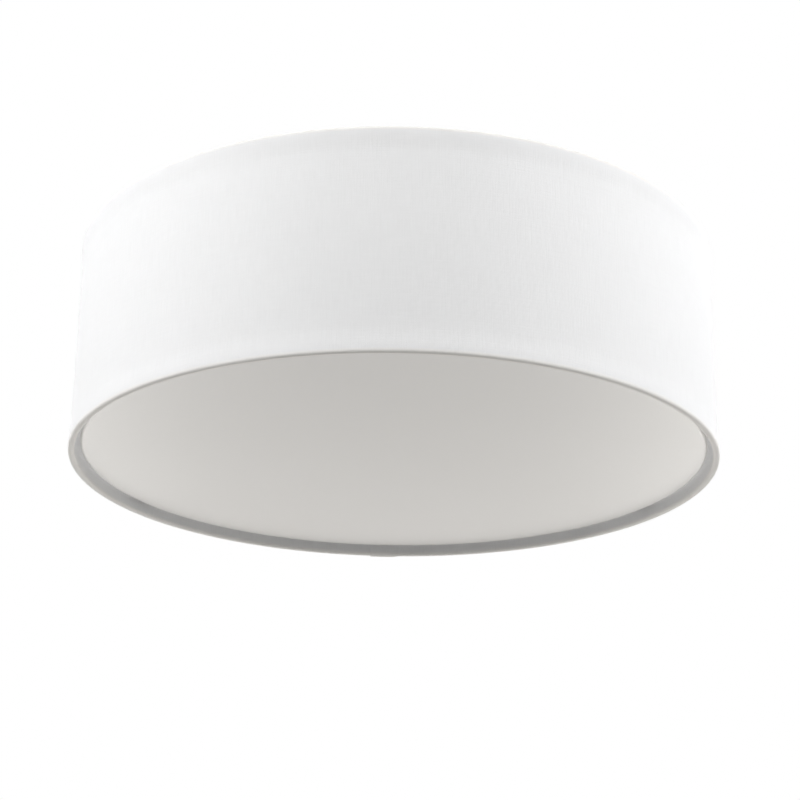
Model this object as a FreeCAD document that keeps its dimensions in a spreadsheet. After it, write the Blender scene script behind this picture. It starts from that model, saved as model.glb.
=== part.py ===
"""Flush mount ceiling light: a round cloth drum with an opal disc in its mouth, over a round LED unit.

Millimetres, +Z up. The origin is the middle of the face that lies against the ceiling, and the light
hangs below it. The front of the light looks along -Y.

The steel pan holds the electrics and three studs. The drum hangs on the studs by three straps, which
knurled nuts clamp. The opal disc hangs on three magnets just inside the drum's lower hem.
"""
import FreeCAD, Part

import math
import os

import Sketcher

Vector = FreeCAD.Vector
Rotation = FreeCAD.Rotation

# Every size that can be set by itself.
SIZES = (
    # the drum
    ("shade_diameter", 300),
    ("shade_height", 100),
    ("waist_inset", 0.7),  # how far the wall draws in between the rings
    ("waist_run", 10),  # height in which it comes out to a ring
    ("cloth_thickness", 0.4),
    ("glue_line", 0.2),
    ("liner_thickness", 0.4),
    ("ring_wire", 1.7),
    ("ring_play", 0.3),  # between the wire and the cloth round it
    ("top_hem_rise", 1.6),  # the cloth runs straight this far past the ring's middle
    ("bottom_hem_rise", 5.4),  # enough to hide the legs of the diffuser's tabs
    ("hem_depth", 12),  # how far the cloth is turned in at each mouth
    ("lap_width", 12),  # where the cloth's ends overlap at the back
    # the opal disc and what holds it
    ("diffuser_gap", 2.3),
    ("diffuser_recess", 4.5),
    ("diffuser_thickness", 2.5),
    ("diffuser_edge_radius", 1.5),
    ("strike_diameter", 14),
    ("strike_thickness", 0.8),
    ("magnet_inset", 10.5),
    ("magnet_gap", 0.1),
    ("cup_diameter", 12),
    ("cup_height", 2.4),
    ("cup_wall", 0.9),
    ("cup_stud_diameter", 3),
    ("cup_head_diameter", 5.6),
    ("cup_head_height", 0.9),
    ("magnet_seat", 0.1),  # how far the magnet sits inside its cup
    ("tab_width", 10),
    ("tab_thickness", 0.8),
    ("liner_play", 0.2),  # between the liner and the end of a strap or tab
    ("tab_end", 6.5),  # from the magnet's middle to the tab's end
    # the pan
    ("pan_depth", 15),
    ("pan_sheet", 0.8),
    ("pan_radius", 116),
    ("pan_rake", 3),
    ("pan_flange", 5),
    ("pan_bend_radius", 3),
    ("well_inset", 16),  # from the pan's foot to the middle of a slot
    ("slot_length", 12),
    ("slot_width", 5),
    ("well_margin", 3.5),
    ("well_rake", 2.5),
    ("cable_hole_diameter", 16),
    ("cable_hole_margin", 2.5),  # from the bush to the LED board
    ("grommet_lip", 2),
    ("grommet_lip_thickness", 1.8),
    ("grommet_bore", 9),
    # the straps, studs and nuts
    ("strap_width", 14),
    ("strap_thickness", 1.5),
    ("strap_foot", 8),  # from the stud's middle to the strap's end
    ("strap_shelf", 14),  # level length next to the ring
    ("strap_bend_radius", 2.5),
    ("stud_inset", 9),  # from the pan's foot to a stud's middle
    ("stud_diameter", 4),
    ("stud_length", 12.5),
    ("stud_head_diameter", 7),
    ("stud_head_height", 1.2),
    ("stud_hole_play", 0.25),
    ("washer_diameter", 9),
    ("washer_thickness", 0.8),
    ("nut_diameter", 12),
    ("nut_height", 5),
    ("nut_collar_diameter", 8.5),
    ("nut_collar_height", 2),
    ("knurl_depth", 0.4),
    # the LED board
    ("board_inner_radius", 51),
    ("board_outer_radius", 86),
    ("board_thickness", 1.6),
    ("inner_chip_circle", 66),
    ("outer_chip_circle", 79),
    ("chip_length", 3.5),
    ("chip_width", 2.8),
    ("chip_height", 0.7),
    ("board_screw_circle", 72.5),
    ("connector_length", 8),
    ("connector_width", 9),
    ("connector_height", 5.5),
    ("connector_x", 57.5),
    ("connector_hole", 2.4),
    # small screws
    ("small_screw_diameter", 3),
    ("small_screw_length", 6),
    ("small_head_diameter", 5.6),
    ("small_head_height", 2),
    ("recess_length", 3),
    ("recess_width", 0.8),
    ("recess_depth", 1.1),
    ("screw_play", 0.2),  # a screw in its clearance hole, on the radius
    # the driver
    ("driver_length", 62),
    ("driver_width", 36),
    ("driver_height", 20),
    ("driver_y", 17),
    ("driver_wall", 1.5),
    ("driver_corner", 2.5),
    ("driver_ear", 9),
    ("driver_ear_width", 11),
    ("driver_board_thickness", 1.2),
    ("driver_post_height", 2.5),
    ("driver_post_diameter", 3.6),
    # the terminal block
    ("pole_pitch", 10),
    ("pole_width", 8.2),
    ("block_width", 17),
    ("block_height", 9.5),
    ("block_web_height", 4),
    ("block_y", -22),
    ("turret_diameter", 6.4),
    ("turret_height", 3),
    ("turret_offset", 4.4),
    ("clamp_diameter", 4.6),
    ("clamp_bore", 2.8),
    ("clamp_length", 14),
    ("clamp_screw_diameter", 2.6),
    ("clamp_screw_slot", 0.5),
    # the earth point
    ("earth_x", 33),
    ("earth_y", -25),
    ("earth_screw_diameter", 4),
    ("earth_head_diameter", 7.6),
    ("earth_head_height", 2.6),
    ("tag_diameter", 8.4),
    ("tag_thickness", 0.8),
    ("tag_barrel_diameter", 3.8),
    ("tag_barrel_length", 7),
    # the leads
    ("lead_diameter", 2),
    ("lead_drop", 6),  # the leads run this far below the pan
    ("lead_spread", 4),  # from one of the driver's leads to the next
    ("lead_row", 7),  # Y of the first of them
    # clearances
    ("fit_gap", 0.05),
    ("slit_play", 0.5),
)

PLACES = 3  # straps, studs, nuts, tabs and magnets round the drum
FIRST_ANGLE = 30  # degrees from +X to the first of them
BOARD_SCREWS = 6
INNER_CHIPS = 16
OUTER_CHIPS = 24
KNURLS = 24
POLES = 3
LAP_ANGLE = 90  # the cloth's lap is at the back
CABLE_SLANT = (0.8, 0.6)  # which way the cable hole lies, towards -X and -Y

doc = FreeCAD.newDocument("ceiling_light")
subparts = []


class Size:
    """A number, together with the sheet expression that gives it."""

    def __init__(self, value, text):
        self.value = value
        self.text = text

    def __add__(self, other):
        return Size(self.value + value_of(other), f"({self.text} + {text_of(other)})")

    def __sub__(self, other):
        return Size(self.value - value_of(other), f"({self.text} - {text_of(other)})")

    def __mul__(self, other):
        return Size(self.value * value_of(other), f"({self.text} * {text_of(other)})")

    def __truediv__(self, other):
        return Size(self.value / value_of(other), f"({self.text} / {text_of(other)})")

    def __neg__(self):
        return Size(-self.value, f"(0 - {self.text})")

    def __radd__(self, other):
        return Size(value_of(other) + self.value, f"({text_of(other)} + {self.text})")

    def __rsub__(self, other):
        return Size(value_of(other) - self.value, f"({text_of(other)} - {self.text})")

    __rmul__ = __mul__


def value_of(size):
    return size.value if isinstance(size, Size) else float(size)


def text_of(size):
    return size.text if isinstance(size, Size) else f"({float(size):.6f})"


class Sheet:
    """The document's spreadsheet, with one attribute for each of its aliases."""

    def __init__(self):
        cells = doc.addObject("Spreadsheet::Sheet", "Sizes")
        for row, (alias, number) in enumerate(SIZES, 1):
            cells.set(f"A{row}", alias)
            cells.set(f"B{row}", str(number))
            cells.setAlias(f"B{row}", alias)
            setattr(self, alias, Size(float(number), f"Sizes.{alias}"))


s = Sheet()
doc.recompute()

# ---- places worked out from the sizes, shared by the pieces that meet there ----

# the drum, from its outside in
drum_radius = s.shade_diameter / 2
wire_radius = s.ring_wire / 2
hem_inner_bend = wire_radius + s.ring_play
hem_outer_bend = hem_inner_bend + s.cloth_thickness
ring_radius = drum_radius - hem_outer_bend
hem_face_radius = ring_radius - hem_outer_bend
wall_radius = drum_radius - s.waist_inset
liner_outer_radius = wall_radius - s.cloth_thickness - s.glue_line
liner_inner_radius = liner_outer_radius - s.liner_thickness
turn_in_outer_radius = liner_inner_radius - s.glue_line
turn_in_inner_radius = turn_in_outer_radius - s.cloth_thickness
top_ring_z = -hem_outer_bend
bottom_ring_z = hem_outer_bend - s.shade_height

# the opal disc and its magnets, from the mouth up
diffuser_radius = hem_face_radius - s.diffuser_gap
diffuser_bottom_z = s.diffuser_recess - s.shade_height
diffuser_top_z = diffuser_bottom_z + s.diffuser_thickness
strike_bottom_z = diffuser_top_z + s.fit_gap
strike_top_z = strike_bottom_z + s.strike_thickness
cup_bottom_z = strike_top_z + s.magnet_gap
cup_top_z = cup_bottom_z + s.cup_height
tab_bottom_z = cup_top_z + s.fit_gap
tab_top_z = tab_bottom_z + s.tab_thickness
magnet_circle_radius = diffuser_radius - s.magnet_inset

# the pan and what hangs under it
plate_z = -s.pan_depth
plate_top_z = plate_z + s.pan_sheet
board_bottom_z = plate_z - s.board_thickness
strap_foot_top_z = plate_z - s.fit_gap
strap_foot_bottom_z = strap_foot_top_z - s.strap_thickness
washer_top_z = strap_foot_bottom_z - s.fit_gap
washer_bottom_z = washer_top_z - s.washer_thickness
nut_top_z = washer_bottom_z - s.fit_gap
lead_z = plate_z - s.lead_drop
lead_radius = s.lead_diameter / 2
well_x = s.pan_radius - s.well_inset
stud_circle = s.pan_radius - s.stud_inset
cable_hole_circle = (
    s.board_inner_radius - s.cable_hole_diameter / 2 - s.grommet_lip - s.cable_hole_margin
)
cable_hole_x = -cable_hole_circle * CABLE_SLANT[0]
cable_hole_y = -cable_hole_circle * CABLE_SLANT[1]
ear_x = s.driver_length / 2 + s.driver_ear / 2
stud_hole_radius = s.stud_diameter / 2 + s.stud_hole_play
connector_lead_z = board_bottom_z - s.connector_height / 2
tag_lead_z = plate_z - s.fit_gap - s.tag_barrel_diameter / 2
tag_mouth_y = s.earth_y + s.tag_diameter / 2 + s.tag_thickness + s.tag_barrel_length


# ---- drawing helpers ----


def bind(thing, prop, size):
    """Binds a property to what the sheet says of the size."""
    thing.setExpression(prop, text_of(size))


def move_to(thing, x=0, y=0, z=0, rotation=None):
    thing.Placement = FreeCAD.Placement(
        Vector(value_of(x), value_of(y), value_of(z)), rotation or Rotation()
    )
    for axis, size in (("x", x), ("y", y), ("z", z)):
        if isinstance(size, Size):
            bind(thing, f"Placement.Base.{axis}", size)


def keep(thing, label):
    """Marks an object as a sub-part, named by its label."""
    thing.Label = label
    subparts.append(thing)
    return thing


def new_body(label):
    body = doc.addObject("PartDesign::Body", label)
    body.AllowCompound = True
    return keep(body, label)


def origin_feature(body, role):
    return next(f for f in body.Origin.OriginFeatures if f.Role == role)


def turn_to(body, angle):
    """Turns a body about its own upright axis, angle degrees from +X."""
    body.Placement = FreeCAD.Placement(body.Placement.Base, Rotation(Vector(0, 0, 1), angle))


def new_sketch(body, name, offset=None, plane="XY_Plane", along=None, turned=0):
    """A sketch on one of the body's own planes.

    offset moves it along the plane's normal and along moves it along its own X. turned turns it in
    degrees, about the body's Z axis.
    """
    sketch = body.newObject("Sketcher::SketchObject", name)
    sketch.AttachmentSupport = [(origin_feature(body, plane), "")]
    sketch.MapMode = "FlatFace"
    up = Vector(0, 0, 1) if plane == "XY_Plane" else Vector(0, 1, 0)
    sketch.AttachmentOffset = FreeCAD.Placement(
        Vector(value_of(along or 0), 0, value_of(offset or 0)), Rotation(up, turned)
    )
    for axis, size in (("x", along), ("z", offset)):
        if isinstance(size, Size):
            bind(sketch, f"AttachmentOffset.Base.{axis}", size)
    return sketch


def upright_sketch(body, name, along=None, turned=0):
    """A sketch whose X is the body's X, or turned from it, and whose Y is the body's Z."""
    return new_sketch(body, name, plane="XZ_Plane", along=along, turned=turned)


def dimension(sketch, kind, first, first_point, second, second_point, size):
    number = sketch.addConstraint(
        Sketcher.Constraint(kind, first, first_point, second, second_point, value_of(size))
    )
    bind(sketch, f"Constraints[{number}]", size)


def arc_centre(start, end, aligned, anchor):
    """Centre of the arc from start to end, level with or plumb over the anchor point."""
    a, b = (start, end) if anchor == 0 else (end, start)
    if aligned == "level":
        rise = b[1] - a[1]
        return ((b[0] ** 2 - a[0] ** 2 + rise**2) / (2 * (b[0] - a[0])), a[1])
    run = b[0] - a[0]
    return (a[0], (b[1] ** 2 - a[1] ** 2 + run**2) / (2 * (b[1] - a[1])))


def outline(sketch, corners, arcs=None):
    """Draws a closed outline through corners, each fixed by its two sizes.

    arcs gives the edges that aren't straight: edge number, then how the arc's centre is lined up with
    one of its ends ("level" or "plumb"), which end (0 or 1), and for a half circle which way it bulges.
    """
    arcs = arcs or {}
    spots = [(value_of(x), value_of(y)) for x, y in corners]
    count = len(spots)
    first = sketch.GeometryCount
    ends = []
    for i, start in enumerate(spots):
        end = spots[(i + 1) % count]
        from_point, to_point = Vector(*start, 0), Vector(*end, 0)
        if i not in arcs:
            sketch.addGeometry(Part.LineSegment(from_point, to_point))
            ends.append((1, 2))
            continue
        aligned, anchor, bulge = arcs[i]
        centre = Vector(*arc_centre(start, end, aligned, anchor), 0)
        away = (from_point + to_point) / 2 - centre
        if away.Length < 1e-6:
            away = Vector(*bulge, 0)
        middle = centre + away.normalize() * (from_point - centre).Length
        geometry = sketch.addGeometry(Part.Arc(from_point, middle, to_point))
        forward = (sketch.getPoint(geometry, 1) - from_point).Length < 1e-6
        ends.append((1, 2) if forward else (2, 1))
    for i in range(count):
        after = (i + 1) % count
        sketch.addConstraint(
            Sketcher.Constraint(
                "Coincident", first + i, ends[i][1], first + after, ends[after][0]
            )
        )
    for i, (x, y) in enumerate(corners):
        dimension(sketch, "DistanceX", -1, 1, first + i, ends[i][0], x)
        dimension(sketch, "DistanceY", -1, 1, first + i, ends[i][0], y)
    for i, (aligned, anchor, _) in arcs.items():
        kind = "Horizontal" if aligned == "level" else "Vertical"
        sketch.addConstraint(
            Sketcher.Constraint(kind, first + i, 3, first + i, ends[i][anchor])
        )
    return sketch


def circle(sketch, x, y, radius):
    number = sketch.addGeometry(
        Part.Circle(Vector(value_of(x), value_of(y), 0), Vector(0, 0, 1), value_of(radius))
    )
    dimension(sketch, "DistanceX", -1, 1, number, 3, x)
    dimension(sketch, "DistanceY", -1, 1, number, 3, y)
    constraint = sketch.addConstraint(Sketcher.Constraint("Radius", number, value_of(radius)))
    bind(sketch, f"Constraints[{constraint}]", radius)
    return sketch


def rectangle(sketch, low_x, low_y, high_x, high_y):
    return outline(
        sketch, [(low_x, low_y), (high_x, low_y), (high_x, high_y), (low_x, high_y)]
    )


def obround(sketch, x, y, half_run, radius):
    """A slot shape that runs along X: two half circles, half_run each way from the middle."""
    corners = [
        (x - half_run, y - radius),
        (x + half_run, y - radius),
        (x + half_run, y + radius),
        (x - half_run, y + radius),
    ]
    return outline(sketch, corners, {1: ("plumb", 0, (1, 0)), 3: ("plumb", 0, (-1, 0))})


def body_of(feature):
    return feature.getParentGeoFeatureGroup()


def revolve(sketch, name, angle=360):
    """Turns the outline about the sketch's own upright axis."""
    turned = body_of(sketch).newObject("PartDesign::Revolution", name)
    turned.Profile = (sketch, [""])
    turned.ReferenceAxis = (sketch, ["V_Axis"])
    if isinstance(angle, Size):
        turned.Angle = angle.value
        bind(turned, "Angle", angle)
    else:
        turned.Angle = angle
    return turned


def pad(sketch, length, name, both_ways=False, down=False):
    made = body_of(sketch).newObject("PartDesign::Pad", name)
    made.Profile = (sketch, [""])
    bind(made, "Length", length)
    made.Length = value_of(length)
    made.Midplane = both_ways
    made.Reversed = down
    return made


def pocket(sketch, length, name, up=False):
    """A cut from the sketch, downwards or up, as deep as length or right through both ways."""
    made = body_of(sketch).newObject("PartDesign::Pocket", name)
    made.Profile = (sketch, [""])
    if length is None:
        made.Type = "ThroughAll"
        made.Midplane = True
    else:
        made.Length = value_of(length)
        bind(made, "Length", length)
        made.Reversed = up
    return made


def round_the_axis(features, count, name):
    """Repeats the features evenly round the body's own Z axis."""
    body = body_of(features[0])
    pattern = body.newObject("PartDesign::PolarPattern", name)
    pattern.Originals = features
    pattern.Axis = (origin_feature(body, "Z_Axis"), [""])
    pattern.Angle = 360
    pattern.Occurrences = count
    body.Tip = pattern
    return pattern


def fillet_where(base, radius, wanted, name):
    """Rounds the edges of base for which wanted(edge) is true."""
    doc.recompute()
    names = [f"Edge{n}" for n, edge in enumerate(base.Shape.Edges, 1) if wanted(edge)]
    made = body_of(base).newObject("PartDesign::Fillet", name)
    made.Base = (base, names)
    made.Radius = value_of(radius)
    bind(made, "Radius", radius)
    return made


def near(a, b):
    return abs(a - value_of(b)) < 1e-4


def box(name, low, size):
    """A plain block from its low corner, as a step towards a sub-part."""
    made = doc.addObject("Part::Box", name)
    for prop, length in zip(("Length", "Width", "Height"), size):
        setattr(made, prop, value_of(length))
        bind(made, prop, length)
    move_to(made, *low)
    return made


ALONG_Y = Rotation(Vector(1, 0, 0), -90)
ALONG_X = Rotation(Vector(0, 1, 0), 90)


def cylinder(name, radius, height, at, rotation=None):
    made = doc.addObject("Part::Cylinder", name)
    made.Radius, made.Height = value_of(radius), value_of(height)
    bind(made, "Radius", radius)
    bind(made, "Height", height)
    move_to(made, *at, rotation=rotation)
    return made


def fuse(name, shapes):
    made = doc.addObject("Part::MultiFuse", name)
    made.Shapes = shapes
    made.Refine = True
    return made


def cut(name, base, tools):
    made = doc.addObject("Part::Cut", name)
    made.Base = base
    made.Tool = tools[0] if len(tools) == 1 else fuse(f"{name}_tools", tools)
    return made


def angle_of(place):
    return FIRST_ANGLE + place * 360 / PLACES


# ---- the drum ----


def cloth_side(outer_radius, inner_radius, top_z, bottom_z):
    """Corners of one face of the wall, from its foot up, with its curve out to each ring."""
    middle = (outer_radius + inner_radius) / 2
    return [
        (outer_radius, bottom_z),
        (middle, bottom_z + s.waist_run / 2),
        (inner_radius, bottom_z + s.waist_run),
        (inner_radius, top_z - s.waist_run),
        (middle, top_z - s.waist_run / 2),
        (outer_radius, top_z),
    ]


def wall_curves(first):
    """The curved edges of one face of the wall, for outline: first is its first corner's number."""
    return {
        first: ("level", 0, None),
        first + 1: ("level", 1, None),
        first + 3: ("level", 0, None),
        first + 4: ("level", 1, None),
    }


def hem(ring_z, inward, rise):
    """Corners of the turned-in cloth, from the ring round its end and back to the ring.

    inward is -1 from the top ring and +1 from the bottom one. The cloth runs straight for rise, then
    leans over to the liner.
    """
    straight_z = ring_z + inward * rise
    leant_z = straight_z + inward * s.ring_wire
    end_z = ring_z + inward * s.hem_depth
    face = [
        (hem_face_radius, ring_z),
        (hem_face_radius, straight_z),
        (turn_in_inner_radius, leant_z),
        (turn_in_inner_radius, end_z),
    ]
    back = [
        (hem_face_radius + s.cloth_thickness, ring_z),
        (hem_face_radius + s.cloth_thickness, straight_z),
        (turn_in_outer_radius, leant_z),
        (turn_in_outer_radius, end_z),
    ]
    return face + back[::-1]


def make_cloth():
    """The cloth, rolled round both rings and turned in, notched for the straps and the tabs."""
    body = new_body("shade_cloth")
    outside = cloth_side(drum_radius, wall_radius, top_ring_z, bottom_ring_z)
    inside = cloth_side(
        drum_radius - s.cloth_thickness,
        wall_radius - s.cloth_thickness,
        top_ring_z,
        bottom_ring_z,
    )
    top_hem = hem(top_ring_z, -1, s.top_hem_rise)
    bottom_hem = hem(bottom_ring_z, 1, s.bottom_hem_rise)
    into_top_hem = len(outside) - 1
    out_of_top_hem = into_top_hem + len(top_hem)
    into_bottom_hem = out_of_top_hem + len(inside)
    out_of_bottom_hem = into_bottom_hem + len(bottom_hem)
    arcs = {
        **wall_curves(0),
        into_top_hem: ("level", 0, (0, 1)),
        out_of_top_hem: ("level", 0, (0, 1)),
        **wall_curves(out_of_top_hem + 1),
        into_bottom_hem: ("level", 0, (0, -1)),
        out_of_bottom_hem: ("level", 0, (0, -1)),
    }
    section = outline(
        upright_sketch(body, "cloth_section"),
        outside + top_hem + inside[::-1] + bottom_hem[::-1],
        arcs,
    )
    revolve(section, "cloth_drum")

    half_strap = s.strap_width / 2 + s.slit_play
    half_tab = s.tab_width / 2 + s.slit_play
    strap_notch_z = top_ring_z - wire_radius
    tab_notch_z = bottom_ring_z + s.bottom_hem_rise
    for name, notch_z, half_width, up in (
        ("strap_notch", strap_notch_z, half_strap, False),
        ("tab_notch", tab_notch_z, half_tab, True),
    ):
        mouth = new_sketch(body, f"{name}_sketch", notch_z)
        rectangle(
            mouth, hem_face_radius - s.slit_play, -half_width, liner_inner_radius, half_width
        )
        notch = pocket(mouth, s.hem_depth, name, up)
        round_the_axis([notch], PLACES, f"{name}es")

    lap_inside = cloth_side(
        drum_radius - s.cloth_thickness / 2,
        wall_radius - s.cloth_thickness / 2,
        top_ring_z,
        bottom_ring_z,
    )
    lap_outside = [(x + s.cloth_thickness, z) for x, z in lap_inside]
    lap_sketch = upright_sketch(body, "lap_section", turned=LAP_ANGLE - FIRST_ANGLE)
    curves = {**wall_curves(0), **wall_curves(len(lap_inside))}
    outline(lap_sketch, lap_inside + lap_outside[::-1], curves)
    revolve(lap_sketch, "lap", s.lap_width / drum_radius * (180 / math.pi))
    turn_to(body, FIRST_ANGLE)


def make_liner():
    body = new_body("shade_liner")
    end = hem_outer_bend + wire_radius + s.cloth_thickness
    section = rectangle(
        upright_sketch(body, "liner_section"),
        liner_inner_radius,
        end - s.shade_height,
        liner_outer_radius,
        -end,
    )
    revolve(section, "liner")


def make_ring(label, ring_z):
    body = new_body(label)
    section = circle(upright_sketch(body, "wire_section"), ring_radius, ring_z, wire_radius)
    revolve(section, "hoop")


def make_strap(place):
    """A steel strap, welded under the top ring and bent down to pass under the pan."""
    body = new_body(f"strap_{place + 1}")
    shelf_top = top_ring_z - wire_radius - s.fit_gap
    outer_end = liner_inner_radius - s.liner_play - s.fit_gap
    shelf_end = outer_end - s.strap_shelf
    knee = s.pan_radius + s.pan_rake + s.strap_thickness
    inner_end = stud_circle - s.strap_foot
    corners = [
        (inner_end, strap_foot_top_z),
        (knee, strap_foot_top_z),
        (shelf_end, shelf_top),
        (outer_end, shelf_top),
        (outer_end, shelf_top - s.strap_thickness),
        (shelf_end + s.strap_thickness / 2, shelf_top - s.strap_thickness),
        (knee + s.strap_thickness / 2, strap_foot_bottom_z),
        (inner_end, strap_foot_bottom_z),
    ]
    side = outline(upright_sketch(body, "strap_side"), corners)
    strip = pad(side, s.strap_width, "strip", both_ways=True)
    bent = strip
    for name, bends, radius in (
        ("inner_bends", (corners[1], corners[5]), s.strap_bend_radius),
        ("outer_bends", (corners[2], corners[6]), s.strap_bend_radius + s.strap_thickness),
    ):

        def at_bend(edge):
            spot = edge.CenterOfMass
            return any(near(spot.x, x) and near(spot.z, z) for x, z in bends)

        bent = fillet_where(bent, radius, at_bend, name)

    def at_foot(edge):
        spot = edge.CenterOfMass
        return near(spot.x, inner_end) and near(edge.Length, s.strap_thickness)

    fillet_where(bent, s.strap_width / 2 - s.fit_gap, at_foot, "foot_end")
    hole = circle(new_sketch(body, "stud_hole"), stud_circle, 0, stud_hole_radius)
    pocket(hole, None, "hole")
    turn_to(body, angle_of(place))


def make_tab(place):
    """A steel tab, welded on the bottom ring, that reaches in over the opal disc."""
    body = new_body(f"diffuser_tab_{place + 1}")
    outer = liner_inner_radius - s.liner_play
    foot_z = bottom_ring_z + wire_radius + s.fit_gap
    inner = magnet_circle_radius - s.tab_end
    corners = [
        (outer, foot_z),
        (outer, tab_top_z),
        (inner, tab_top_z),
        (inner, tab_bottom_z),
        (outer - s.tab_thickness, tab_bottom_z),
        (outer - s.tab_thickness, foot_z),
    ]
    side = outline(upright_sketch(body, "tab_side"), corners)
    strip = pad(side, s.tab_width, "strip", both_ways=True)

    def at_bend(edge):
        spot = edge.CenterOfMass
        return near(spot.x, outer) and near(spot.z, tab_top_z)

    fillet_where(strip, s.tab_thickness, at_bend, "bend")
    hole = circle(
        new_sketch(body, "rivet_hole"),
        magnet_circle_radius,
        0,
        s.cup_stud_diameter / 2 + s.fit_gap,
    )
    pocket(hole, None, "hole")
    turn_to(body, angle_of(place))


def place_round(body, place, radius, z=0):
    """Stands a turned body at one of the places round the drum, radius from the middle."""
    carrier = math.radians(angle_of(place))
    turned = Rotation(Vector(0, 0, 1), angle_of(place))
    move_to(body, radius * math.cos(carrier), radius * math.sin(carrier), z, turned)


def make_magnet(place):
    """A pot magnet: a steel cup, peened through the tab, with the magnet in it."""
    cup = new_body(f"magnet_cup_{place + 1}")
    floor = s.cup_wall
    stem_top = s.cup_height + s.fit_gap + s.tab_thickness
    head_radius = s.cup_head_diameter / 2
    corners = [
        (0, s.cup_height - floor),
        (s.cup_diameter / 2 - s.cup_wall, s.cup_height - floor),
        (s.cup_diameter / 2 - s.cup_wall, 0),
        (s.cup_diameter / 2, 0),
        (s.cup_diameter / 2, s.cup_height),
        (s.cup_stud_diameter / 2, s.cup_height),
        (s.cup_stud_diameter / 2, stem_top + s.fit_gap),
        (head_radius, stem_top + s.fit_gap),
        (head_radius - s.cup_head_height, stem_top + s.fit_gap + s.cup_head_height),
        (0, stem_top + s.fit_gap + s.cup_head_height),
    ]
    revolve(outline(upright_sketch(cup, "cup_section"), corners), "cup")
    place_round(cup, place, magnet_circle_radius, cup_bottom_z)

    magnet = new_body(f"magnet_{place + 1}")
    section = rectangle(
        upright_sketch(magnet, "magnet_section"),
        0,
        s.magnet_seat,
        s.cup_diameter / 2 - s.cup_wall - s.fit_gap,
        s.cup_height - floor - s.fit_gap,
    )
    revolve(section, "disc")
    place_round(magnet, place, magnet_circle_radius, cup_bottom_z)


def make_strike(place):
    body = new_body(f"strike_plate_{place + 1}")
    section = rectangle(
        upright_sketch(body, "strike_section"), 0, 0, s.strike_diameter / 2, s.strike_thickness
    )
    revolve(section, "disc")
    place_round(body, place, magnet_circle_radius, strike_bottom_z)


def make_diffuser():
    """The opal disc, with a round lower edge."""
    body = new_body("diffuser_disc")
    edge = s.diffuser_edge_radius
    corners = [
        (0, diffuser_bottom_z),
        (diffuser_radius - edge, diffuser_bottom_z),
        (diffuser_radius, diffuser_bottom_z + edge),
        (diffuser_radius, diffuser_top_z),
        (0, diffuser_top_z),
    ]
    section = outline(
        upright_sketch(body, "disc_section"), corners, {1: ("plumb", 0, None)}
    )
    revolve(section, "disc")


# ---- the pan and the drum's fastenings ----


def make_pan():
    """The pressed steel pan: a flanged dish with a well up to the ceiling at each screw slot."""
    body = new_body("ceiling_pan")
    rim = s.pan_radius + s.pan_rake
    sheet = s.pan_sheet
    corners = [
        (0, plate_z),
        (s.pan_radius, plate_z),
        (rim, -sheet),
        (rim + s.pan_flange, -sheet),
        (rim + s.pan_flange, 0),
        (rim - sheet, 0),
        (s.pan_radius - sheet, plate_top_z),
        (0, plate_top_z),
    ]
    section = outline(upright_sketch(body, "pan_section"), corners)
    dish = revolve(section, "dish")

    foot_bend = s.pan_bend_radius
    brim_bend = s.pan_bend_radius / 2
    bent = dish
    for name, bend_radius, out, up in (
        ("foot_bend", foot_bend, s.pan_radius, plate_z),
        ("inner_foot_bend", foot_bend - sheet, s.pan_radius - sheet, plate_top_z),
        ("brim_bend", brim_bend, rim - sheet, 0),
        ("under_brim_bend", brim_bend - sheet / 2, rim, -sheet),
    ):

        def at_bend(edge):
            span = edge.BoundBox
            return near(span.XMax, out) and near(span.ZMin, up) and near(span.ZMax, up)

        bent = fillet_where(bent, bend_radius, at_bend, name)

    half_run = (s.slot_length - s.slot_width) / 2
    top_radius = s.slot_width / 2 + s.well_margin
    foot_radius = top_radius + s.well_rake
    outside_foot = obround(
        new_sketch(body, "well_foot", plate_z), well_x, 0, half_run, foot_radius
    )
    outside_top = obround(new_sketch(body, "well_top"), well_x, 0, half_run, top_radius)
    well = body.newObject("PartDesign::AdditiveLoft", "well")
    well.Profile = outside_foot
    well.Sections = [outside_top]
    well.Ruled = True
    inside_foot = obround(
        new_sketch(body, "well_mouth", plate_z), well_x, 0, half_run, foot_radius - sheet
    )
    inside_top = obround(
        new_sketch(body, "well_roof", -sheet), well_x, 0, half_run, top_radius - sheet
    )
    hollow = body.newObject("PartDesign::SubtractiveLoft", "well_hollow")
    hollow.Profile = inside_foot
    hollow.Sections = [inside_top]
    hollow.Ruled = True
    slot_sketch = obround(
        new_sketch(body, "slot_sketch"), well_x, 0, half_run, s.slot_width / 2
    )
    slot = pocket(slot_sketch, sheet * 2, "slot")
    round_the_axis([well, hollow, slot], 2, "wells")

    cable = circle(
        new_sketch(body, "cable_sketch"),
        cable_hole_x,
        cable_hole_y,
        s.cable_hole_diameter / 2,
    )
    pocket(cable, None, "cable_hole")
    screw_radius = s.small_screw_diameter / 2 + s.fit_gap
    small = new_sketch(body, "small_holes_sketch")
    circle(small, ear_x, s.driver_y, screw_radius)
    circle(small, -ear_x, s.driver_y, screw_radius)
    circle(small, s.pole_pitch / 2, s.block_y, screw_radius)
    circle(small, s.earth_x, s.earth_y, s.earth_screw_diameter / 2 + s.fit_gap)
    pocket(small, None, "small_holes")
    for name, count, radius, hole in (
        ("stud", PLACES, stud_circle, s.stud_diameter / 2 + s.fit_gap),
        ("board_screw", BOARD_SCREWS, s.board_screw_circle, screw_radius),
    ):
        sketch = new_sketch(body, f"{name}_hole_sketch", turned=FIRST_ANGLE)
        circle(sketch, radius, 0, hole)
        drilled = pocket(sketch, None, f"{name}_hole")
        round_the_axis([drilled], count, f"{name}_holes")


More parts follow.
